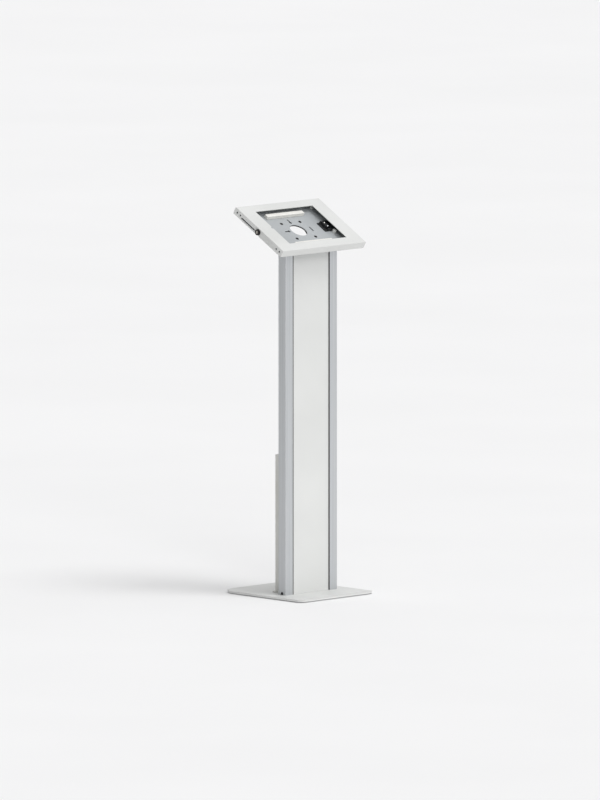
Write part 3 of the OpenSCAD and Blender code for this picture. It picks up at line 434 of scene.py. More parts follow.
@dataclass(frozen=True)
class CutFoam(Finish):
    """Closed-cell foam cut from a block, so its faces show cells sliced open.

    Attributes:
        cell_mm: Size of the cells, drawn coarser than life so that they show.
        cell_deep_mm: Depth of the opened cells.
        relief: Share of that depth that shows.
        painted_shade_span: Distances from a cell's wall between which the painted shade of its depth comes
            in, in cells.
        painted_shade_share: How far the painted shade in a cell's depth goes towards the shade colour.
        dull_span: Distances from a cell's wall between which it gets duller, in cells.
        lay_mm: Size of the slow drift in tone.
        lay_share: How far that drift goes towards the shade.
        roughness: Least and greatest roughness.
        ior: Index of refraction.
        sheen: Weight of the soft light on the cut walls.
    """

    cell_mm: float = 1.2
    cell_deep_mm: float = 0.2
    relief: float = 0.6
    painted_shade_span: Pair = (0.02, 0.25)
    painted_shade_share: float = 0.28
    dull_span: Pair = (0.0, 0.3)
    lay_mm: float = 22.0
    lay_share: float = 0.3
    roughness: Pair = (0.82, 0.96)
    ior: float = 1.4
    sheen: float = 0.15

    def surface(self, tree: bpy.types.NodeTree, where: bpy.types.NodeSocket) -> dict[str, Value]:
        """Lays sliced cells, with painted shade darkening their depth and their walls left pale."""
        grid = {"Vector": where, "Scale": per_metre(self.cell_mm)}
        cells = add(tree, "ShaderNodeTexVoronoi", grid, feature="DISTANCE_TO_EDGE")
        lay = add(tree, "ShaderNodeTexNoise", {"Vector": where, "Scale": per_metre(self.lay_mm)})
        # Painted shade: the colour darkens from each cell's wall towards its middle.
        depth = add(tree, "ShaderNodeMapRange", [cells, *self.painted_shade_span, 0.0, self.painted_shade_share])
        drift = add(tree, "ShaderNodeMapRange", [lay, *NOISE_SPAN, 0.0, self.lay_share])
        tints = {MIX_SHARE: depth, MIX_FROM: srgb(self.colour), MIX_TO: srgb(self.shade)}
        skin = add(tree, "ShaderNodeMix", tints, data_type="RGBA")
        drifts = {MIX_SHARE: drift, MIX_FROM: skin, MIX_TO: srgb(self.shade)}
        relief = {"Strength": self.relief, "Distance": self.cell_deep_mm * MM, "Height": cells}
        return {
            "Base Color": add(tree, "ShaderNodeMix", drifts, data_type="RGBA"),
            "Roughness": add(tree, "ShaderNodeMapRange", [cells, *self.dull_span, *self.roughness]),
            "IOR": self.ior,
            "Sheen Weight": self.sheen,
            "Normal": add(tree, "ShaderNodeBump", relief, invert=True),
        }


@dataclass(frozen=True)
class StudioPaper(Finish):
    """Seamless white studio paper with a faint cloudiness.

    Attributes:
        cloud_mm: Size of the clouds.
        roughness: Roughness all over.
        specular: Level of the gloss, low because the paper is matt.
    """

    cloud_mm: float = 900.0
    roughness: float = 0.9
    specular: float = 0.1

    def surface(self, tree: bpy.types.NodeTree, where: bpy.types.NodeSocket) -> dict[str, Value]:
        """Lays a faint cloudiness over the paper."""
        cloud = add(tree, "ShaderNodeTexNoise", {"Vector": where, "Scale": per_metre(self.cloud_mm)})
        tone = add(tree, "ShaderNodeMapRange", [cloud, *NOISE_SPAN])
        tints = {MIX_SHARE: tone, MIX_FROM: srgb(self.colour), MIX_TO: srgb(self.shade)}
        return {
            "Base Color": add(tree, "ShaderNodeMix", tints, data_type="RGBA"),
            "Roughness": self.roughness,
            "Specular IOR Level": self.specular,
        }


def finishes(lock_axis: Sequence[float]) -> dict[Slot, Finish]:
    """Chooses a finish for every material slot.

    Args:
        lock_axis: A point on the lock's axis, in metres.

    Returns:
        One finish for each slot.
    """
    return {
        Slot.WHITE_COAT: PowderCoat("white_powder_coat_on_steel", "#dcdddb", "#d3d4d2"),
        Slot.GREY_COAT: PowderCoat("grey_powder_coat_on_steel", "#b3b7b9", "#a8acae", edge="#5f6264"),
        Slot.BLACK_COAT: PowderCoat("black_powder_coat_on_steel", "#1c1d1f", "#252628", edge="#4a4c4f"),
        Slot.PANEL_COAT: BakedCoat("white_baked_coat_on_aluminium", "#dfe0de", "#d8d9d7"),
        Slot.ANODISED: DrawnMetal("silver_anodised_aluminium", "#d3d5d7", "#c8cbcd"),
        Slot.WHITE_PLASTIC: MouldedPlastic("white_moulded_abs", "#dadad6", "#d1d1cc", edge="#8f908e"),
        Slot.GREY_PLASTIC: MouldedPlastic("pale_moulded_nylon", "#dcddda", "#cfd0cd", edge="#f0f0ee"),
        Slot.BLACK_PLASTIC: MouldedPlastic("black_moulded_nylon", "#1a1b1d", "#232427", edge="#4d4f52"),
        Slot.RUBBER: MouldedRubber("black_moulded_rubber", "#18181a", "#2c2c2d"),
        # The foam's second colour serves both the painted shade in its opened cells and its drift in tone.
        Slot.FOAM: CutFoam("white_closed_cell_foam", "#f3f2ed", "#cfcec7"),
        Slot.ZINC: PlatedSteel("bright_zinc_on_steel", "#d3d8dc", "#d8d3c6"),
        Slot.BLACK_OXIDE: PlatedSteel(
            "black_oxide_on_steel", "#1b1c1e", "#2a2725", metallic=0.6, cloud_mm=4.0, roughness=(0.3, 0.48)
        ),
        Slot.NICKEL: TurnedPlate("satin_nickel_on_brass", "#cfccc4", "#b4b1a9", axis_point=tuple(lock_axis)),
    }


def band(count: int, sides: int, closed: bool = False) -> Array:
    """Numbers the four-sided faces between rings of points.

    Args:
        count: Rings, whose points are numbered one ring after the other.
        sides: Points around each ring.
        closed: Whether the last ring joins the first.

    Returns:
        Four point numbers for each face.
    """
    ring, place = np.meshgrid(np.arange(count if closed else count - 1), np.arange(sides), indexing="ij")
    here, onward, after = ring * sides, (ring + 1) % count * sides, (place + 1) % sides
    corners = [here + place, here + after, onward + after, onward + place]
    return np.stack(corners, axis=-1).reshape(-1, 4)


def fan(hub: int, first: int, sides: int) -> Array:
    """Numbers the three-sided faces between one point and a ring of points.

    Args:
        hub: Number of the one point.
        first: Number of the ring's first point.
        sides: Points around the ring.

    Returns:
        Three point numbers for each face.
    """
    place = np.arange(sides)
    return np.stack([np.full(sides, hub), first + place, first + (place + 1) % sides], axis=-1)


@dataclass(frozen=True)
class Shell:
    """Closed surface held as arrays.

    Attributes:
        points: One row of x, y, z for each point.
        quads: Four point numbers for each four-sided face.
        tris: Three point numbers for each three-sided face.
    """

    points: Array
    quads: Array
    tris: Array

    @classmethod
    def capped(cls, rings: Array, start: Array, end: Array) -> Shell:
        """Joins rings of points in order and closes both ends with a fan to one point.

        Args:
            rings: Points as (ring, place in the ring, xyz).
            start: Point that closes the first ring.
            end: Point that closes the last ring.

        Returns:
            The closed surface, facing outwards.
        """
        count, sides = rings.shape[:2]
        hub = count * sides
        fans = [fan(hub, 0, sides)[:, ::-1], fan(hub + 1, hub - sides, sides)]
        points = np.concatenate([rings.reshape(-1, 3), [start], [end]])
        return cls(points, band(count, sides), np.concatenate(fans)).outward()

    @classmethod
    def hoop(cls, rings: Array) -> Shell:
        """Joins rings of points in order and the last one back to the first.

        Args:
            rings: Points as (ring, place in the ring, xyz).

        Returns:
            The closed ring-shaped surface, facing outwards.
        """
        count, sides = rings.shape[:2]
        quads = band(count, sides, closed=True)
        return cls(rings.reshape(-1, 3), quads, np.zeros((0, 3), int)).outward()

    def outward(self) -> Shell:
        """Turns the faces to point outwards, by the sign of the volume that they enclose."""
        flat = np.concatenate([self.tris, self.quads[:, :3], self.quads[:, [0, 2, 3]]])
        a, b, c = (self.points[flat[:, i]] for i in range(3))
        if np.einsum("ij,ij->", a, np.cross(b, c)) >= 0:
            return self
        return Shell(self.points, self.quads[:, ::-1], self.tris[:, ::-1])

    def at(self, places: Sequence[Array]) -> Shell:
        """Copies the surface to several places.

        Args:
            places: A 4 x 4 matrix for each copy.

        Returns:
            All the copies as one surface.
        """
        matrices, count = np.stack(places), len(self.points)
        moved = np.einsum("mij,vj->mvi", matrices[:, :3, :3], self.points) + matrices[:, None, :3, 3]
        step = (np.arange(len(places)) * count)[:, None, None]
        return Shell(
            moved.reshape(-1, 3),
            (self.quads[None] + step).reshape(-1, 4),
            (self.tris[None] + step).reshape(-1, 3),
        )

    def piece(self, name: str, sharp_deg: float = 35.0) -> bpy.types.Object:
        """Makes a Blender object of the surface.

        Args:
            name: Name of the object.
            sharp_deg: Angle past which an edge looks sharp.

        Returns:
            The object, linked to the scene, at the origin.
        """
        mesh = bpy.data.meshes.new(name)
        mesh.from_pydata(self.points.tolist(), [], self.quads.tolist() + self.tris.tolist())
        mesh.shade_smooth()
        mesh.set_sharp_from_angle(angle=math.radians(sharp_deg))
        mesh.validate()
        made = bpy.data.objects.new(name, mesh)
        bpy.context.scene.collection.objects.link(made)
        return made


def soft_corners(corners: Sequence[Triple], closed: bool, steps: int = 6) -> Array:
    """Rounds the corners of a profile.

    Around a corner C with unit vectors p and n towards its neighbours and a reach d, the profile runs
    through C + d ((1 - t)^2 p + t^2 n) for t from 0 to 1, a parabola that leaves both sides smoothly.

    Args:
        corners: Radius, height and reach of each corner, in millimetres.
        closed: Whether the last corner joins the first; if not, the two ends stay as they are.
        steps: Points around each corner.

    Returns:
        Radius and height of each point, in metres.
    """
    table = np.array(corners, float) * MM
    spot, reach = table[:, :2], table[:, 2]
    before, after = np.roll(spot, 1, axis=0) - spot, np.roll(spot, -1, axis=0) - spot
    before /= np.linalg.norm(before, axis=1, keepdims=True)
    after /= np.linalg.norm(after, axis=1, keepdims=True)
    t = np.linspace(0.0, 1.0, steps)[None, :, None]
    bend = (1.0 - t) ** 2 * before[:, None] + t**2 * after[:, None]
    curve = spot[:, None] + reach[:, None, None] * bend
    if closed:
        return curve.reshape(-1, 2)
    return np.concatenate([spot[:1], curve[1:-1].reshape(-1, 2), spot[-1:]])


def turned(profile: Array, sides: int = ROUND_SIDES) -> Array:
    """Turns a profile about the z axis.

    Point (i, j) is (r_i cos a_j, r_i sin a_j, h_i), with a_j = 2 pi j / sides.

    Args:
        profile: Radius and height of each ring, in metres.
        sides: Points around each ring.

    Returns:
        Points as (ring, place in the ring, xyz).
    """
    angle = np.linspace(0.0, FULL_TURN, sides, endpoint=False)
    radius, height = profile[:, :1], profile[:, 1:]
    return np.stack([radius * np.cos(angle), radius * np.sin(angle), height + 0.0 * angle], axis=-1)


def knob(corners: Sequence[Triple], sides: int = ROUND_SIDES) -> Shell:
    """Turns a profile that starts and ends on the axis into a closed solid of revolution.

    Args:
        corners: Radius, height and rounding of each corner, in millimetres.
        sides: Points around each ring.

    Returns:
        The closed surface about the z axis.
    """
    profile = soft_corners(corners, closed=False)
    poles = [np.array([0.0, 0.0, h]) for h in profile[[0, -1], 1]]
    return Shell.capped(turned(profile[1:-1], sides), *poles)


@dataclass(frozen=True)
class ButtonScrew:
    """Button-head screw with a hexagon socket, its head on z = 0 and its shank below.

    The sizes after the flange are relative to the thread's diameter, apart from the slack.

    Attributes:
        thread: Diameter of the thread.
        length: Length of the shank.
        flange: Diameter of the flange under the head, or 0 for none.
        head_r: Radius of the head.
        head_h: Height that the dome would have without its socket.
        rim_h: Height of the dome's rim.
        flange_rim_h: Height of the dome's rim on a flange.
        flange_h: Height of the flange.
        soft: Width of the chamfers.
        socket_r: Radius of the socket at its corners.
        socket_floor: Height of the socket's floor.
        point: Chamfer at the end of the shank.
        slack: Gap between the shank and the thread's radius.
        dome: Where the dome has its rings, as shares of the way from the socket to the rim.
    """

    thread: float
    length: float
    flange: float = 0.0
    head_r: float = 0.9
    head_h: float = 0.55
    rim_h: float = 0.16
    flange_rim_h: float = 0.24
    flange_h: float = 0.2
    soft: float = 0.04
    socket_r: float = 0.3
    socket_floor: float = 0.25
    point: float = 0.12
    slack: float = 0.05
    dome: tuple[float, ...] = (0.0, 0.12, 0.3, 0.5, 0.7, 0.86, 0.96, 1.0)

    def shell(self, sides: int = ROUND_SIDES) -> Shell:
        """Makes the surface of the screw.

        Ring i of the dome has the radius (1 - s_i) hex(a) + s_i R, where hex(a) = r cos(30) /
        cos(a mod 60 - 30) is the socket's outline. Its height over a radius q is H - (H - rim) (q / R)^2.

        Args:
            sides: Points around each ring, a multiple of six.

        Returns:
            The closed surface about the z axis.
        """
        d = self.thread
        head_r, head_h, soft, point = self.head_r * d, self.head_h * d, self.soft * d, self.point * d
        rim_h = (self.flange_rim_h if self.flange else self.rim_h) * d
        foot_r, shank_r = self.flange / 2 or head_r, 0.5 * d - self.slack
        floor_h, step_h = self.socket_floor * d, self.flange_h * d
        angle = np.linspace(0.0, FULL_TURN, sides, endpoint=False)
        sixth = math.pi / 6
        hexagon = self.socket_r * d * math.cos(sixth) / np.cos(np.mod(angle, 2 * sixth) - sixth)

        share = np.array(self.dome)[:, None]
        dome_r = (1.0 - share) * hexagon + share * head_r
        dome_h = head_h - (head_h - rim_h) * (dome_r / head_r) ** 2
        flange = [[head_r + soft, step_h], [foot_r - 3 * soft, step_h], [foot_r, step_h - 2 * soft]]
        plain = np.array(
            [
                *(flange if self.flange else []),
                [foot_r, soft],
                [foot_r - soft, 0.0],
                [shank_r, 0.0],
                [shank_r, point - self.length],
                [shank_r - point, -self.length],
            ]
        )
        radius = np.concatenate([[0.5 * hexagon, hexagon], dome_r, plain[:, :1] + 0.0 * angle])
        height = np.concatenate([np.full((2, sides), floor_h), dome_h, plain[:, 1:] + 0.0 * angle])
        rings = np.stack([radius * np.cos(angle), radius * np.sin(angle), height], axis=-1) * MM
        poles = [np.array([0.0, 0.0, h]) * MM for h in (floor_h, -self.length)]
        return Shell.capped(rings, *poles)


def shifted(x: float, y: float, z: float) -> Array:
    """Matrix that moves by the given millimetres."""
    matrix = np.eye(4)
    matrix[:3, 3] = np.array([x, y, z]) * MM
    return matrix


def mirrored(x: float, y: float) -> list[Pair]:
    """The four places at plus and minus x and y."""
    return [(i * x, j * y) for i in (-1, 1) for j in (-1, 1)]


# Turn that lays the z axis along x, and one that lays it along y
Z_TO_X = np.array([[0, 0, 1, 0], [0, 1, 0, 0], [-1, 0, 0, 0], [0, 0, 0, 1]], float)
Z_TO_Y = np.array([[1, 0, 0, 0], [0, 0, 1, 0], [0, -1, 0, 0], [0, 0, 0, 1]], float)


@dataclass(frozen=True)
class Frame:
    """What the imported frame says.

    Attributes:
        nodes: CAD objects by name.
        slots: Material slot of each node.
        finishes: Finish of each slot.
        head: Matrix from the enclosure's own frame to the CAD frame: x to the right, y up the slope and
            z from the back of the tray towards its open side.
    """

    nodes: dict[str, bpy.types.Object]
    slots: dict[str, Slot]
    finishes: dict[Slot, Finish]
    head: Array

    @classmethod
    def read(cls, packed: Mapping[str, Value]) -> Frame:
        """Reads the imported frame.


        Returns:
            The frame, with the enclosure's own frame found from the hinge line of the front frame.
        """
        joints = {joint["name"]: joint for joint in packed["joints"]}
        hinge, lock = joints["lid_hinge"], joints["lock_turn"]
        slope = np.array(hinge["axis"], float)
        head = np.eye(4)
        head[:3, 1], head[:3, 2] = slope, np.cross(head[:3, 0], slope)
        head[1:3, 3] = hinge["pos_m"][1:]
        slots = {row["node"]: Slot(row["material_slot"]) for row in packed["record"]["subparts"]}
        return cls(packed["nodes"], slots, finishes(lock["pos_m"]), head)

    def on_head(self, x: float, y: float, z: float) -> Array:
        """Matrix that sets a piece at millimetres along the enclosure's own axes."""
        return self.head @ shifted(x, y, z)

    def dress(self, node: str) -> None:
        """Gives a CAD node the finish of its slot."""
        materials = self.nodes[node].data.materials
        materials.clear()
        materials.append(self.finishes[self.slots[node]].material())
        LOG.info("dressed %s as %s", node, self.slots[node].value)

    def replace(self, shell: Shell, name: str, node: str, body: Body) -> bpy.types.Object:
        """Puts a finer piece in the place of a CAD node.

        Args:
            shell: Surface of the piece, in the CAD frame.
            name: Name of the piece.
            node: CAD node that it stands for.
            body: Body that it rides on.

        Returns:
            The piece.
        """
        made = shell.piece(name)
        made.data.materials.append(self.finishes[self.slots[node]].material())
        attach(made, body.value)
        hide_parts(node)
        LOG.info("made %s for %s, %d faces", name, node, len(made.data.polygons))
        return made


@dataclass(frozen=True)
class SubAssembly:
    """A group of pieces that a maker would put together on one bench.

    Attributes:
        nodes: CAD nodes of the group.
    """

    nodes: tuple[str, ...] = ()

    def dress(self, frame: Frame) -> None:
        """Gives every CAD node of the group its finish."""
        for node in self.nodes:
            frame.dress(node)

    def build(self, frame: Frame) -> None:
        """Makes the group's finer pieces; a group of plain sheet has none."""


@dataclass(frozen=True)
class Base(SubAssembly):
    """Base plate on four rubber pads.

    Attributes:
        pad_d: Diameter of a pad.
        pad_t: Thickness of a pad.
        pad_x: Distance of the pads from the middle, sideways.
        pad_y: Distance of the pads from the middle, from front to back.
        sole_d: Diameter of the hollow in a pad's sole.
        sole_deep: Depth of that hollow.
        sole_soft: Rounding of the hollow's edges.
        rim_soft: Rounding of the rim on the floor.
        top_soft: Rounding of the rim under the plate.
    """

    nodes: tuple[str, ...] = ("base_plate", "base_pads", "base_bracket", "base_screws", "base_nuts")
    pad_d: float = 26.0
    pad_t: float = 3.0
    pad_x: float = 114.0
    pad_y: float = 131.5
    sole_d: float = 17.0
    sole_deep: float = 0.5
    sole_soft: float = 0.3
    rim_soft: float = 0.8
    top_soft: float = 0.2

    def build(self, frame: Frame) -> None:
        """Turns the pads, with a hollow in the sole and a rounded rim."""
        rim, sole = self.pad_d / 2, self.sole_d / 2
        pad = knob(
            [
                (0.0, self.sole_deep, 0.0),
                (sole, self.sole_deep, self.sole_soft),
                (sole + 2 * self.sole_deep, 0.0, self.sole_soft),
                (rim, 0.0, self.rim_soft),
                (rim, self.pad_t, self.top_soft),
                (0.0, self.pad_t, 0.0),
            ]
        )
        places = [shifted(x, y, 0.0) for x, y in mirrored(self.pad_x, self.pad_y)]
        frame.replace(pad.at(places), "rubber_foot_pads", "base_pads", Body.STAND)


@dataclass(frozen=True)
class Column(SubAssembly):
    """Two drawn posts with a panel in front and behind."""

    nodes: tuple[str, ...] = (
        "left_post",
        "right_post",
        "post_inserts",
        "post_screws",
        "front_panel",
        "rear_panel",
        "panel_strips",
        "left_post_cap",
        "right_post_cap",
        "top_bracket",
    )


@dataclass(frozen=True)
class RearCover(SubAssembly):
    """Moulded cover on magnets, with a rubber grommet for the power lead.

    Attributes:
        wall: Thickness of the cover's wall.
        inside_y: Where the wall begins, from front to back.
        grommet_z: Height of the grommet's middle.
        bore_r: Radius of the hole for the lead.
        body_r: Radius of the grommet in the wall.
        rim_r: Radius of its lips.
        rim_t: Thickness of its lips.
        bore_soft: Rounding of the hole's edges.
        lip_soft: Rounding of the lips away from the wall.
        wall_soft: Rounding of the lips against the wall.
        neck_soft: Rounding between the lips and the body.
    """

    nodes: tuple[str, ...] = ("rear_cover", "cover_magnets", "cable_grommet")
    wall: float = 2.5
    inside_y: float = 15.0
    grommet_z: float = 42.3
    bore_r: float = 6.0
    body_r: float = 9.0
    rim_r: float = 12.0
    rim_t: float = 2.0
    bore_soft: float = 0.7
    lip_soft: float = 0.9
    wall_soft: float = 0.6
    neck_soft: float = 0.2

    def build(self, frame: Frame) -> None:
        """Turns the grommet, with rounded lips on both sides of the wall."""
        far = self.wall + 2 * self.rim_t
        near_lip = [
            (self.bore_r, 0.0, self.bore_soft),
            (self.rim_r, 0.0, self.lip_soft),
            (self.rim_r, self.rim_t, self.wall_soft),
            (self.body_r, self.rim_t, self.neck_soft),
        ]
        far_lip = [(r, far - h, soft) for r, h, soft in reversed(near_lip)]
        ring = Shell.hoop(turned(soft_corners([*near_lip, *far_lip], closed=True)))
        place = shifted(0.0, self.inside_y - self.rim_t, self.grommet_z) @ Z_TO_Y
        frame.replace(ring.at([place]), "rubber_lead_grommet", "cable_grommet", Body.REAR_COVER)


@dataclass(frozen=True)
class HeadBracket(SubAssembly):
    """Bracket that holds the enclosure on the column.

    Attributes:
        foot_screw_x: Places of the foot's screws, sideways.
        column_y: Middle of the column, from front to back.
        foot_top: Height of the foot's upper face.
        foot_screw_d: Thread of the foot's screws.
        foot_screw_len: Length of their shanks.
        mount_half: Half the side of the square mounting pattern.
        mount_screw_d: Thread of the pattern's screws.
        mount_screw_len: Length of their shanks.
        mount_flange_d: Diameter of the flanges under their heads.
        sheet_t: Thickness of the tray's sheet.
    """

    nodes: tuple[str, ...] = (
        "head_bracket",
        "head_bracket_screws",
        "head_bracket_nuts",
        "mount_screws",
        "mount_nuts",
    )
    foot_screw_x: tuple[float, ...] = (-56.0, -20.0, 20.0, 56.0)
    column_y: float = -42.5
    foot_top: float = 1011.0
    foot_screw_d: float = 5.0
    foot_screw_len: float = 11.0
    mount_half: float = 37.5
    mount_screw_d: float = 4.0
    mount_screw_len: float = 9.5
    mount_flange_d: float = 10.0
    sheet_t: float = 1.5

    def build(self, frame: Frame) -> None:
        """Makes the screws of the foot and of the square mounting pattern."""
        foot = ButtonScrew(self.foot_screw_d, self.foot_screw_len).shell()
        places = [shifted(x, self.column_y, self.foot_top) for x in self.foot_screw_x]
        frame.replace(foot.at(places), "bracket_foot_screws", "head_bracket_screws", Body.STAND)
        mount = ButtonScrew(self.mount_screw_d, self.mount_screw_len, self.mount_flange_d).shell()
        square = mirrored(self.mount_half, self.mount_half)
        places = [frame.on_head(x, y, self.sheet_t) for x, y in square]
        frame.replace(mount.at(places), "mounting_pattern_screws", "mount_screws", Body.STAND)


@dataclass(frozen=True)
class Enclosure(SubAssembly):
    """Folded tray and front frame on two riveted hinges.

    Attributes:
        side_x: Where the front frame's side ends, sideways.
        sheet_t: Thickness of the sheet.
        leaf_t: Thickness of the hinges' leaves.
        hinge_at: Distance of the hinges from the middle, up the slope.
        rivet_pitch: Distance between the rivets of a leaf.
        rivet_r: Radius of a rivet's shank.
        rivet_head_r: Radius of its head.
        rivet_head_t: Height of its head.
        tray_rivet_x: Where the tray's rivets are, sideways.
        frame_rivet_z: Where the front frame's rivets are, over the back of the tray.
        dome: Corners of a head: radius and height relative to the head's, and rounding.
        shank_soft: Rounding at the ends of a shank.
        rivet_sides: Points around a rivet.
    """

    nodes: tuple[str, ...] = (
        "back_tray",
        "front_frame",
        "upper_hinge_tray_leaf",
        "lower_hinge_tray_leaf",
        "upper_hinge_frame_leaf",
        "lower_hinge_frame_leaf",
        "hinge_pins",
        "tray_rivets",
        "frame_rivets",
    )
    side_x: float = 168.5
    sheet_t: float = 1.5
    leaf_t: float = 1.2
    hinge_at: float = 55.0
    rivet_pitch: float = 14.0
    rivet_r: float = 1.6
    rivet_head_r: float = 3.0
    rivet_head_t: float = 1.0
    tray_rivet_x: float = 149.5
    frame_rivet_z: float = 11.0
    dome: tuple[Triple, ...] = ((0.0, 1.0, 0.0), (0.72, 0.86, 0.4), (1.0, 0.3, 0.15), (1.0, 0.0, 0.1))
    shank_soft: float = 0.1
    rivet_sides: int = 32

    def build(self, frame: Frame) -> None:
        """Turns the rivets of the hinges, with domed heads; those of the frame end flush in its side."""
        shank, soft = self.rivet_r, self.shank_soft
        dome = [(r * self.rivet_head_r, h * self.rivet_head_t, turn) for r, h, turn in self.dome]
        under = [(r, -self.leaf_t - h, turn) for r, h, turn in dome]
        over = [(r, self.sheet_t + h, turn) for r, h, turn in reversed(dome)]
        through = [(shank, -self.leaf_t, soft), (shank, self.sheet_t, soft)]
        tray_rivet = knob([*under, *through, *over], self.rivet_sides)
        outer = [(r, self.leaf_t + h, turn) for r, h, turn in reversed(dome)]
        flush = [(0.0, -self.sheet_t, 0.0), (shank, -self.sheet_t, soft), (shank, self.leaf_t, soft)]
        frame_rivet = knob([*flush, *outer], self.rivet_sides)

        rows = [side * self.hinge_at + step * self.rivet_pitch for side in (-1, 1) for step in (-1, 0, 1)]
        places = [frame.on_head(self.tray_rivet_x, y, 0.0) for y in rows]
        frame.replace(tray_rivet.at(places), "domed_tray_rivets", "tray_rivets", Body.STAND)
        places = [frame.on_head(self.side_x, y, self.frame_rivet_z) @ Z_TO_X for y in rows]
        frame.replace(frame_rivet.at(places), "domed_frame_rivets", "frame_rivets", Body.LID)


@dataclass(frozen=True)
class Lock(SubAssembly):
    """Cam lock in the left side, with a hook for its cam on the front frame.

    Attributes:
        axis_z: Where the lock's axis is, over the back of the tray.
        drive_end_x: Where the plug ends inside the tray, sideways.
        screw_d: Thread of the cam's screw.
        screw_len: Length of its shank.
    """

    nodes: tuple[str, ...] = ("lock_barrel", "lock_clip", "lock_plug", "lock_cam", "cam_screw", "lock_hook")
    axis_z: float = 11.0
    drive_end_x: float = -146.4
    screw_d: float = 3.0
    screw_len: float = 4.5

    def build(self, frame: Frame) -> None:
        """Makes the screw that holds the cam."""
        place = frame.on_head(self.drive_end_x, 0.0, self.axis_z) @ Z_TO_X
        screw = ButtonScrew(self.screw_d, self.screw_len).shell().at([place])
        frame.replace(screw, "cam_holding_screw", "cam_screw", Body.LOCK_CORE)


@dataclass(frozen=True)
class TabletBay(SubAssembly):
    """Foam bars that the tablet lies on, and the stops at its corners.

    Attributes:
        sheet_t: Thickness of the tray's sheet.
        foam_len: Length of a bar.
        foam_w: Width of a bar.
        foam_h: Height of a bar.
        foam_at: Distance of the bars from the middle, up the slope.
        foam_edge: Rounding of a bar's ends.
        foam_squareness: Power of a bar's section, squarer as it grows.
        side_pull: How far a bar's sides are drawn in.
        crown: How far a bar's top sinks at the ends.
        saw_mm: Length of the waves that the saw leaves.
        saw_deep: Half the depth of those waves.
        end_rings: Sections in the rounding of an end.
        cap_shares: Sizes of the rings that close an end, relative to its outline.
        stop_d: Diameter of a stop.
        stop_h: Height of a stop.
        stop_x: Distance of the stops from the middle, sideways.
        stop_y: Distance of the stops from the middle, up the slope.
        foot_soft: Rounding of a stop's foot.
        top_soft: Rounding of a stop's top.
    """

    nodes: tuple[str, ...] = ("upper_foam_bar", "lower_foam_bar", "corner_stops")
    sheet_t: float = 1.5
    foam_len: float = 150.0
    foam_w: float = 14.5
    foam_h: float = 10.5
    foam_at: float = 70.55
    foam_edge: float = 1.3
    foam_squareness: float = 14.0
    side_pull: float = 0.35
    crown: float = 0.35
    saw_mm: float = 11.0
    saw_deep: float = 0.08
    end_rings: int = 8
    cap_shares: tuple[float, ...] = (0.25, 0.5, 0.75)
    stop_d: float = 9.0
    stop_h: float = 13.0
    stop_x: float = 131.6
    stop_y: float = 94.5
    foot_soft: float = 0.2
    top_soft: float = 1.6

    def foam_bar(self, sides: int = 72, stations: int = 121) -> Shell:
        """Cuts one foam bar that rests on z = 0, centred on the z axis, along x.

        At x the section is a superellipse (|y / a|^p + |z / b|^p)^(1/p) = 1 of half-size a, b less an end
        inset. The inset is the arc e (1 - cos f) while the last e of the length is e sin f. The sides
        are drawn in by a pull times 1 - (2 z / h)^2, the top sinks towards the ends by a crown times
        (2 x / L)^2, and the saw leaves a slight wave along x. The underside stays flat.

        Args:
            sides: Points around the section.
            stations: Sections along the bar.

        Returns:
            The closed surface, in the bar's own frame.
        """
        half, edge = self.foam_len / 2, self.foam_edge
        arc = np.linspace(math.pi / 2, 0.0, self.end_rings)
        left = -half + edge * (1.0 - np.sin(arc))
        middle = np.linspace(-half + edge, half - edge, stations)[1:-1]
        x = np.concatenate([left, middle, -left[::-1]])[:, None]
        bow = edge * (1.0 - np.cos(arc))
        inset = np.concatenate([bow, np.zeros(len(middle)), bow[::-1]])[:, None]

        angle = np.linspace(0.0, FULL_TURN, sides, endpoint=False)
        wide, high = self.foam_w / 2 - inset, self.foam_h / 2 - inset
        power = self.foam_squareness
        near = np.abs(np.cos(angle) / wide) ** power + np.abs(np.sin(angle) / high) ** power
        reach = near ** (-1.0 / power)
        y, z = reach * np.cos(angle), reach * np.sin(angle)
        up = np.clip(z / (self.foam_h / 2), -1.0, 1.0)
        along = np.clip(x / half, -1.0, 1.0)
        wave = self.saw_deep * (1.0 + np.sin(FULL_TURN * x / self.saw_mm))
        y = y * (1.0 - (self.side_pull * (1.0 - up**2) + wave) / (self.foam_w / 2))
        z = z - np.clip(up, 0.0, 1.0) * (self.crown * along**2 + wave)
        rings = np.stack([x + 0.0 * angle, y, z + self.foam_h / 2], axis=-1)

        shrink = np.array(self.cap_shares)[:, None, None]
        middle_of = rings.mean(axis=1, keepdims=True)
        first = middle_of[:1] + shrink * (rings[:1] - middle_of[:1])
        last = middle_of[-1:] + shrink[::-1] * (rings[-1:] - middle_of[-1:])
        rings = np.concatenate([first, rings, last]) * MM
        return Shell.capped(rings, rings[0].mean(axis=0), rings[-1].mean(axis=0))

    def build(self, frame: Frame) -> None:
        """Cuts the foam bars and turns the corner stops."""
        bar = self.foam_bar()
        for name, side in (("upper_foam_bar", 1), ("lower_foam_bar", -1)):
            place = frame.on_head(0.0, side * self.foam_at, self.sheet_t)
            soft = frame.replace(bar.at([place]), f"soft_{name}", name, Body.STAND)
        rim = self.stop_d / 2
        stop = knob(
            [
                (0.0, 0.0, 0.0),
                (rim, 0.0, self.foot_soft),
                (rim, self.stop_h, self.top_soft),
                (0.0, self.stop_h, 0.0),
            ]
        )
        corners = mirrored(self.stop_x, self.stop_y)
        places = [frame.on_head(x, y, self.sheet_t) for x, y in corners]
        frame.replace(stop.at(places), "rounded_corner_stops", "corner_stops", Body.STAND)


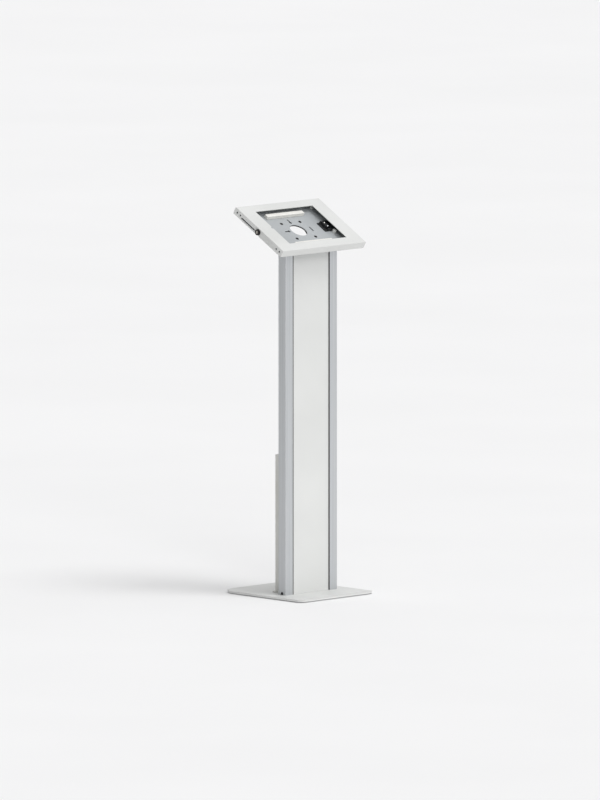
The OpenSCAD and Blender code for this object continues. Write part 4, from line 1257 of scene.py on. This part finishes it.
@dataclass(frozen=True)
class LeadClamp(SubAssembly):
    """Clamp that holds the charging lead, and the post that the lead turns around.

    Attributes:
        base_top: Height of the base's upper face over the back of the tray.
        screw_d: Thread of the screws.
        base_screw_x: Places of the base's screws, sideways.
        base_screw_y: Distance of the base's screws from the middle, up the slope.
        base_screw_len: Length of their shanks.
        saddle_x: Place of the saddle's screws, sideways.
        saddle_y: Distance of the saddle's screws from the middle, up the slope.
        saddle_top: Height of the saddle's upper face over the back of the tray.
        saddle_screw_len: Length of the shanks of the saddle's screws.
        guide_x: Place of the lead guide, sideways.
        guide_y: Place of the lead guide, up the slope.
        guide_d: Diameter of the lead guide.
        guide_h: Height of the lead guide over the sheet.
        guide_pin_d: Diameter of its pin in the sheet.
        sheet_t: Thickness of the tray's sheet.
        pin_soft: Rounding of the pin's end.
        seat_soft: Rounding between the pin and the guide.
        foot_soft: Rounding of the guide's foot.
        top_soft: Rounding of the guide's top.
    """

    nodes: tuple[str, ...] = ("clamp_base", "clamp_saddle", "clamp_screws", "saddle_screws", "lead_guide")
    base_top: float = 4.5
    screw_d: float = 3.0
    base_screw_x: tuple[float, ...] = (95.5, 140.5)
    base_screw_y: float = 12.4
    base_screw_len: float = 5.5
    saddle_x: float = 106.5
    saddle_y: float = 8.0
    saddle_top: float = 12.5
    saddle_screw_len: float = 10.95
    guide_x: float = 120.5
    guide_y: float = -27.5
    guide_d: float = 12.4
    guide_h: float = 9.0
    guide_pin_d: float = 4.0
    sheet_t: float = 1.5
    pin_soft: float = 0.3
    seat_soft: float = 0.1
    foot_soft: float = 0.3
    top_soft: float = 1.2

    def build(self, frame: Frame) -> None:
        """Makes the screws and turns the lead guide."""
        base = ButtonScrew(self.screw_d, self.base_screw_len).shell()
        spots = [(x, side * self.base_screw_y) for x in self.base_screw_x for side in (-1, 1)]
        places = [frame.on_head(x, y, self.base_top) for x, y in spots]
        frame.replace(base.at(places), "clamp_base_screws", "clamp_screws", Body.STAND)
        saddle = ButtonScrew(self.screw_d, self.saddle_screw_len).shell()
        rows = (-self.saddle_y, self.saddle_y)
        places = [frame.on_head(self.saddle_x, y, self.saddle_top) for y in rows]
        frame.replace(saddle.at(places), "bright_saddle_screws", "saddle_screws", Body.STAND)
        pin, rim, top = self.guide_pin_d / 2, self.guide_d / 2, self.sheet_t + self.guide_h
        guide = knob(
            [
                (0.0, 0.0, 0.0),
                (pin, 0.0, self.pin_soft),
                (pin, self.sheet_t, self.seat_soft),
                (rim, self.sheet_t, self.foot_soft),
                (rim, top, self.top_soft),
                (0.0, top, 0.0),
            ]
        )
        place = frame.on_head(self.guide_x, self.guide_y, 0.0)
        frame.replace(guide.at([place]), "rounded_lead_guide", "lead_guide", Body.STAND)


@dataclass(frozen=True)
class Sun:
    """One even, parallel light.

    Attributes:
        name: Name of the light.
        towards: Direction from the stand to the light.
        strength: Irradiance in watts per square metre.
        spread_deg: Angle that the light seems to fill, which softens its shadows.
    """

    name: str
    towards: Triple
    strength: float
    spread_deg: float

    def shine(self) -> None:
        """Puts the light into the scene."""
        data = bpy.data.lights.new(self.name, "SUN")
        data.energy, data.angle = self.strength, math.radians(self.spread_deg)
        light = bpy.data.objects.new(self.name, data)
        light.rotation_euler = Vector(self.towards).to_track_quat("Z", "Y").to_euler()
        bpy.context.scene.collection.objects.link(light)


@dataclass(frozen=True)
class Studio:
    """Pale floor, soft light and a long lens at the drawing's angle.

    Attributes:
        azimuth_deg: Angle of the camera around the stand, 0 looking along +y.
        elevation_deg: Angle of the camera above the horizon.
        aim: Point that the middle of the picture looks at, in metres.
        picture_m: Height of the picture at the stand, in metres.
        lens_mm: Focal length, long enough for lines to stay nearly parallel.
        sensor_mm: Sensor size along the picture's long side.
        clip_m: Nearest and farthest that the camera sees, in metres.
        floor_r: Radius of the floor, in metres, which fills the picture behind the stand.
        floor_rings: Rings of the floor.
        floor_sides: Points around each of those rings.
        paper: Finish of the floor.
        bright_side: Direction of the brightest part of the room.
        room: Least and greatest brightness of the room.
        room_tint: Colour of the room's light.
        suns: The key light, and the fills in front and behind.
    """

    azimuth_deg: float = -44.65
    elevation_deg: float = 7.06
    aim: Triple = (0.01036, 0.0, 0.5639)
    picture_m: float = 2.32
    lens_mm: float = 800.0
    sensor_mm: float = 36.0
    clip_m: Pair = (1.0, 300.0)
    floor_r: float = 23.5
    floor_rings: int = 12
    floor_sides: int = 96
    paper: Finish = StudioPaper("white_studio_paper", "#f5f5f5", "#f3f3f3")
    bright_side: Triple = (0.55, -0.6, 0.58)
    room: Pair = (0.06, 0.92)
    room_tint: str = "#fbfbfc"
    suns: tuple[Sun, ...] = (
        Sun("key", (0.16, -0.5, 1.0), strength=0.95, spread_deg=24.0),
        Sun("front_fill", (-0.5, -0.75, 0.42), strength=0.5, spread_deg=20.0),
        Sun("rear_fill", (0.3, 0.8, 0.5), strength=0.28, spread_deg=60.0),
    )

    def camera(self) -> None:
        """Places the camera, whose back vector is (sin a cos e, -cos a cos e, sin e)."""
        a, e = math.radians(self.azimuth_deg), math.radians(self.elevation_deg)
        back = Vector((math.sin(a) * math.cos(e), -math.cos(a) * math.cos(e), math.sin(e)))
        data = bpy.data.cameras.new("long_lens")
        data.lens, data.sensor_width, data.sensor_fit = self.lens_mm, self.sensor_mm, "AUTO"
        data.clip_start, data.clip_end = self.clip_m
        camera = bpy.data.objects.new("long_lens", data)
        camera.location = Vector(self.aim) + back * (self.picture_m * self.lens_mm / self.sensor_mm)
        camera.rotation_euler = (-back).to_track_quat("-Z", "Y").to_euler()
        bpy.context.scene.collection.objects.link(camera)
        bpy.context.scene.camera = camera

    def floor(self) -> None:
        """Lays a round floor: point (i, j) is at the radius R (i / n)^2 and the angle 2 pi j / m."""
        count, sides = self.floor_rings, self.floor_sides
        radius = self.floor_r * np.linspace(0.0, 1.0, count + 1)[1:, None] ** 2
        rings = turned(np.concatenate([radius, 0.0 * radius], axis=1), sides)
        points = np.concatenate([rings.reshape(-1, 3), np.zeros((1, 3))])
        faces = band(count, sides)[:, ::-1].tolist() + fan(count * sides, 0, sides).tolist()
        mesh = bpy.data.meshes.new("floor")
        mesh.from_pydata(points.tolist(), [], faces)
        mesh.materials.append(self.paper.material())
        floor = bpy.data.objects.new("floor", mesh)
        bpy.context.scene.collection.objects.link(floor)

    def light(self) -> None:
        """Lights the stand by a room that is brighter in front and to the right, a soft key and two fills."""
        world = bpy.data.worlds.new("studio")
        world.use_nodes = True
        tree = world.node_tree
        tree.nodes.clear()
        way = add(tree, "ShaderNodeTexCoord").outputs["Generated"]
        facing = add(tree, "ShaderNodeVectorMath", [way, self.bright_side], operation="DOT_PRODUCT")
        level = add(tree, "ShaderNodeMapRange", [facing, -1.0, 1.0, *self.room])
        room = add(tree, "ShaderNodeBackground", {"Color": srgb(self.room_tint), "Strength": level})
        add(tree, "ShaderNodeOutputWorld", {"Surface": room})
        bpy.context.scene.world = world
        for sun in self.suns:
            sun.shine()
        bpy.context.scene.view_settings.view_transform = "Standard"
        bpy.context.scene.view_settings.look = "None"


def main() -> None:
    """Loads the frame, then builds the studio and each sub-assembly in order."""
    logging.basicConfig(level=logging.INFO, format="%(name)s: %(message)s")
    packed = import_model()
    studio = Studio()
    studio.camera()
    studio.floor()
    studio.light()
    frame = Frame.read(packed)
    groups: list[SubAssembly] = [
        Base(),
        Column(),
        RearCover(),
        HeadBracket(),
        Enclosure(),
        Lock(),
        TabletBay(),
        LeadClamp(),
    ]
    for group in groups:
        group.dress(frame)
        group.build(frame)
    undressed = set(frame.nodes) - {node for group in groups for node in group.nodes}
    if undressed:
        LOG.warning("no finish on %s", sorted(undressed))


if __name__ == "__main__":
    main()
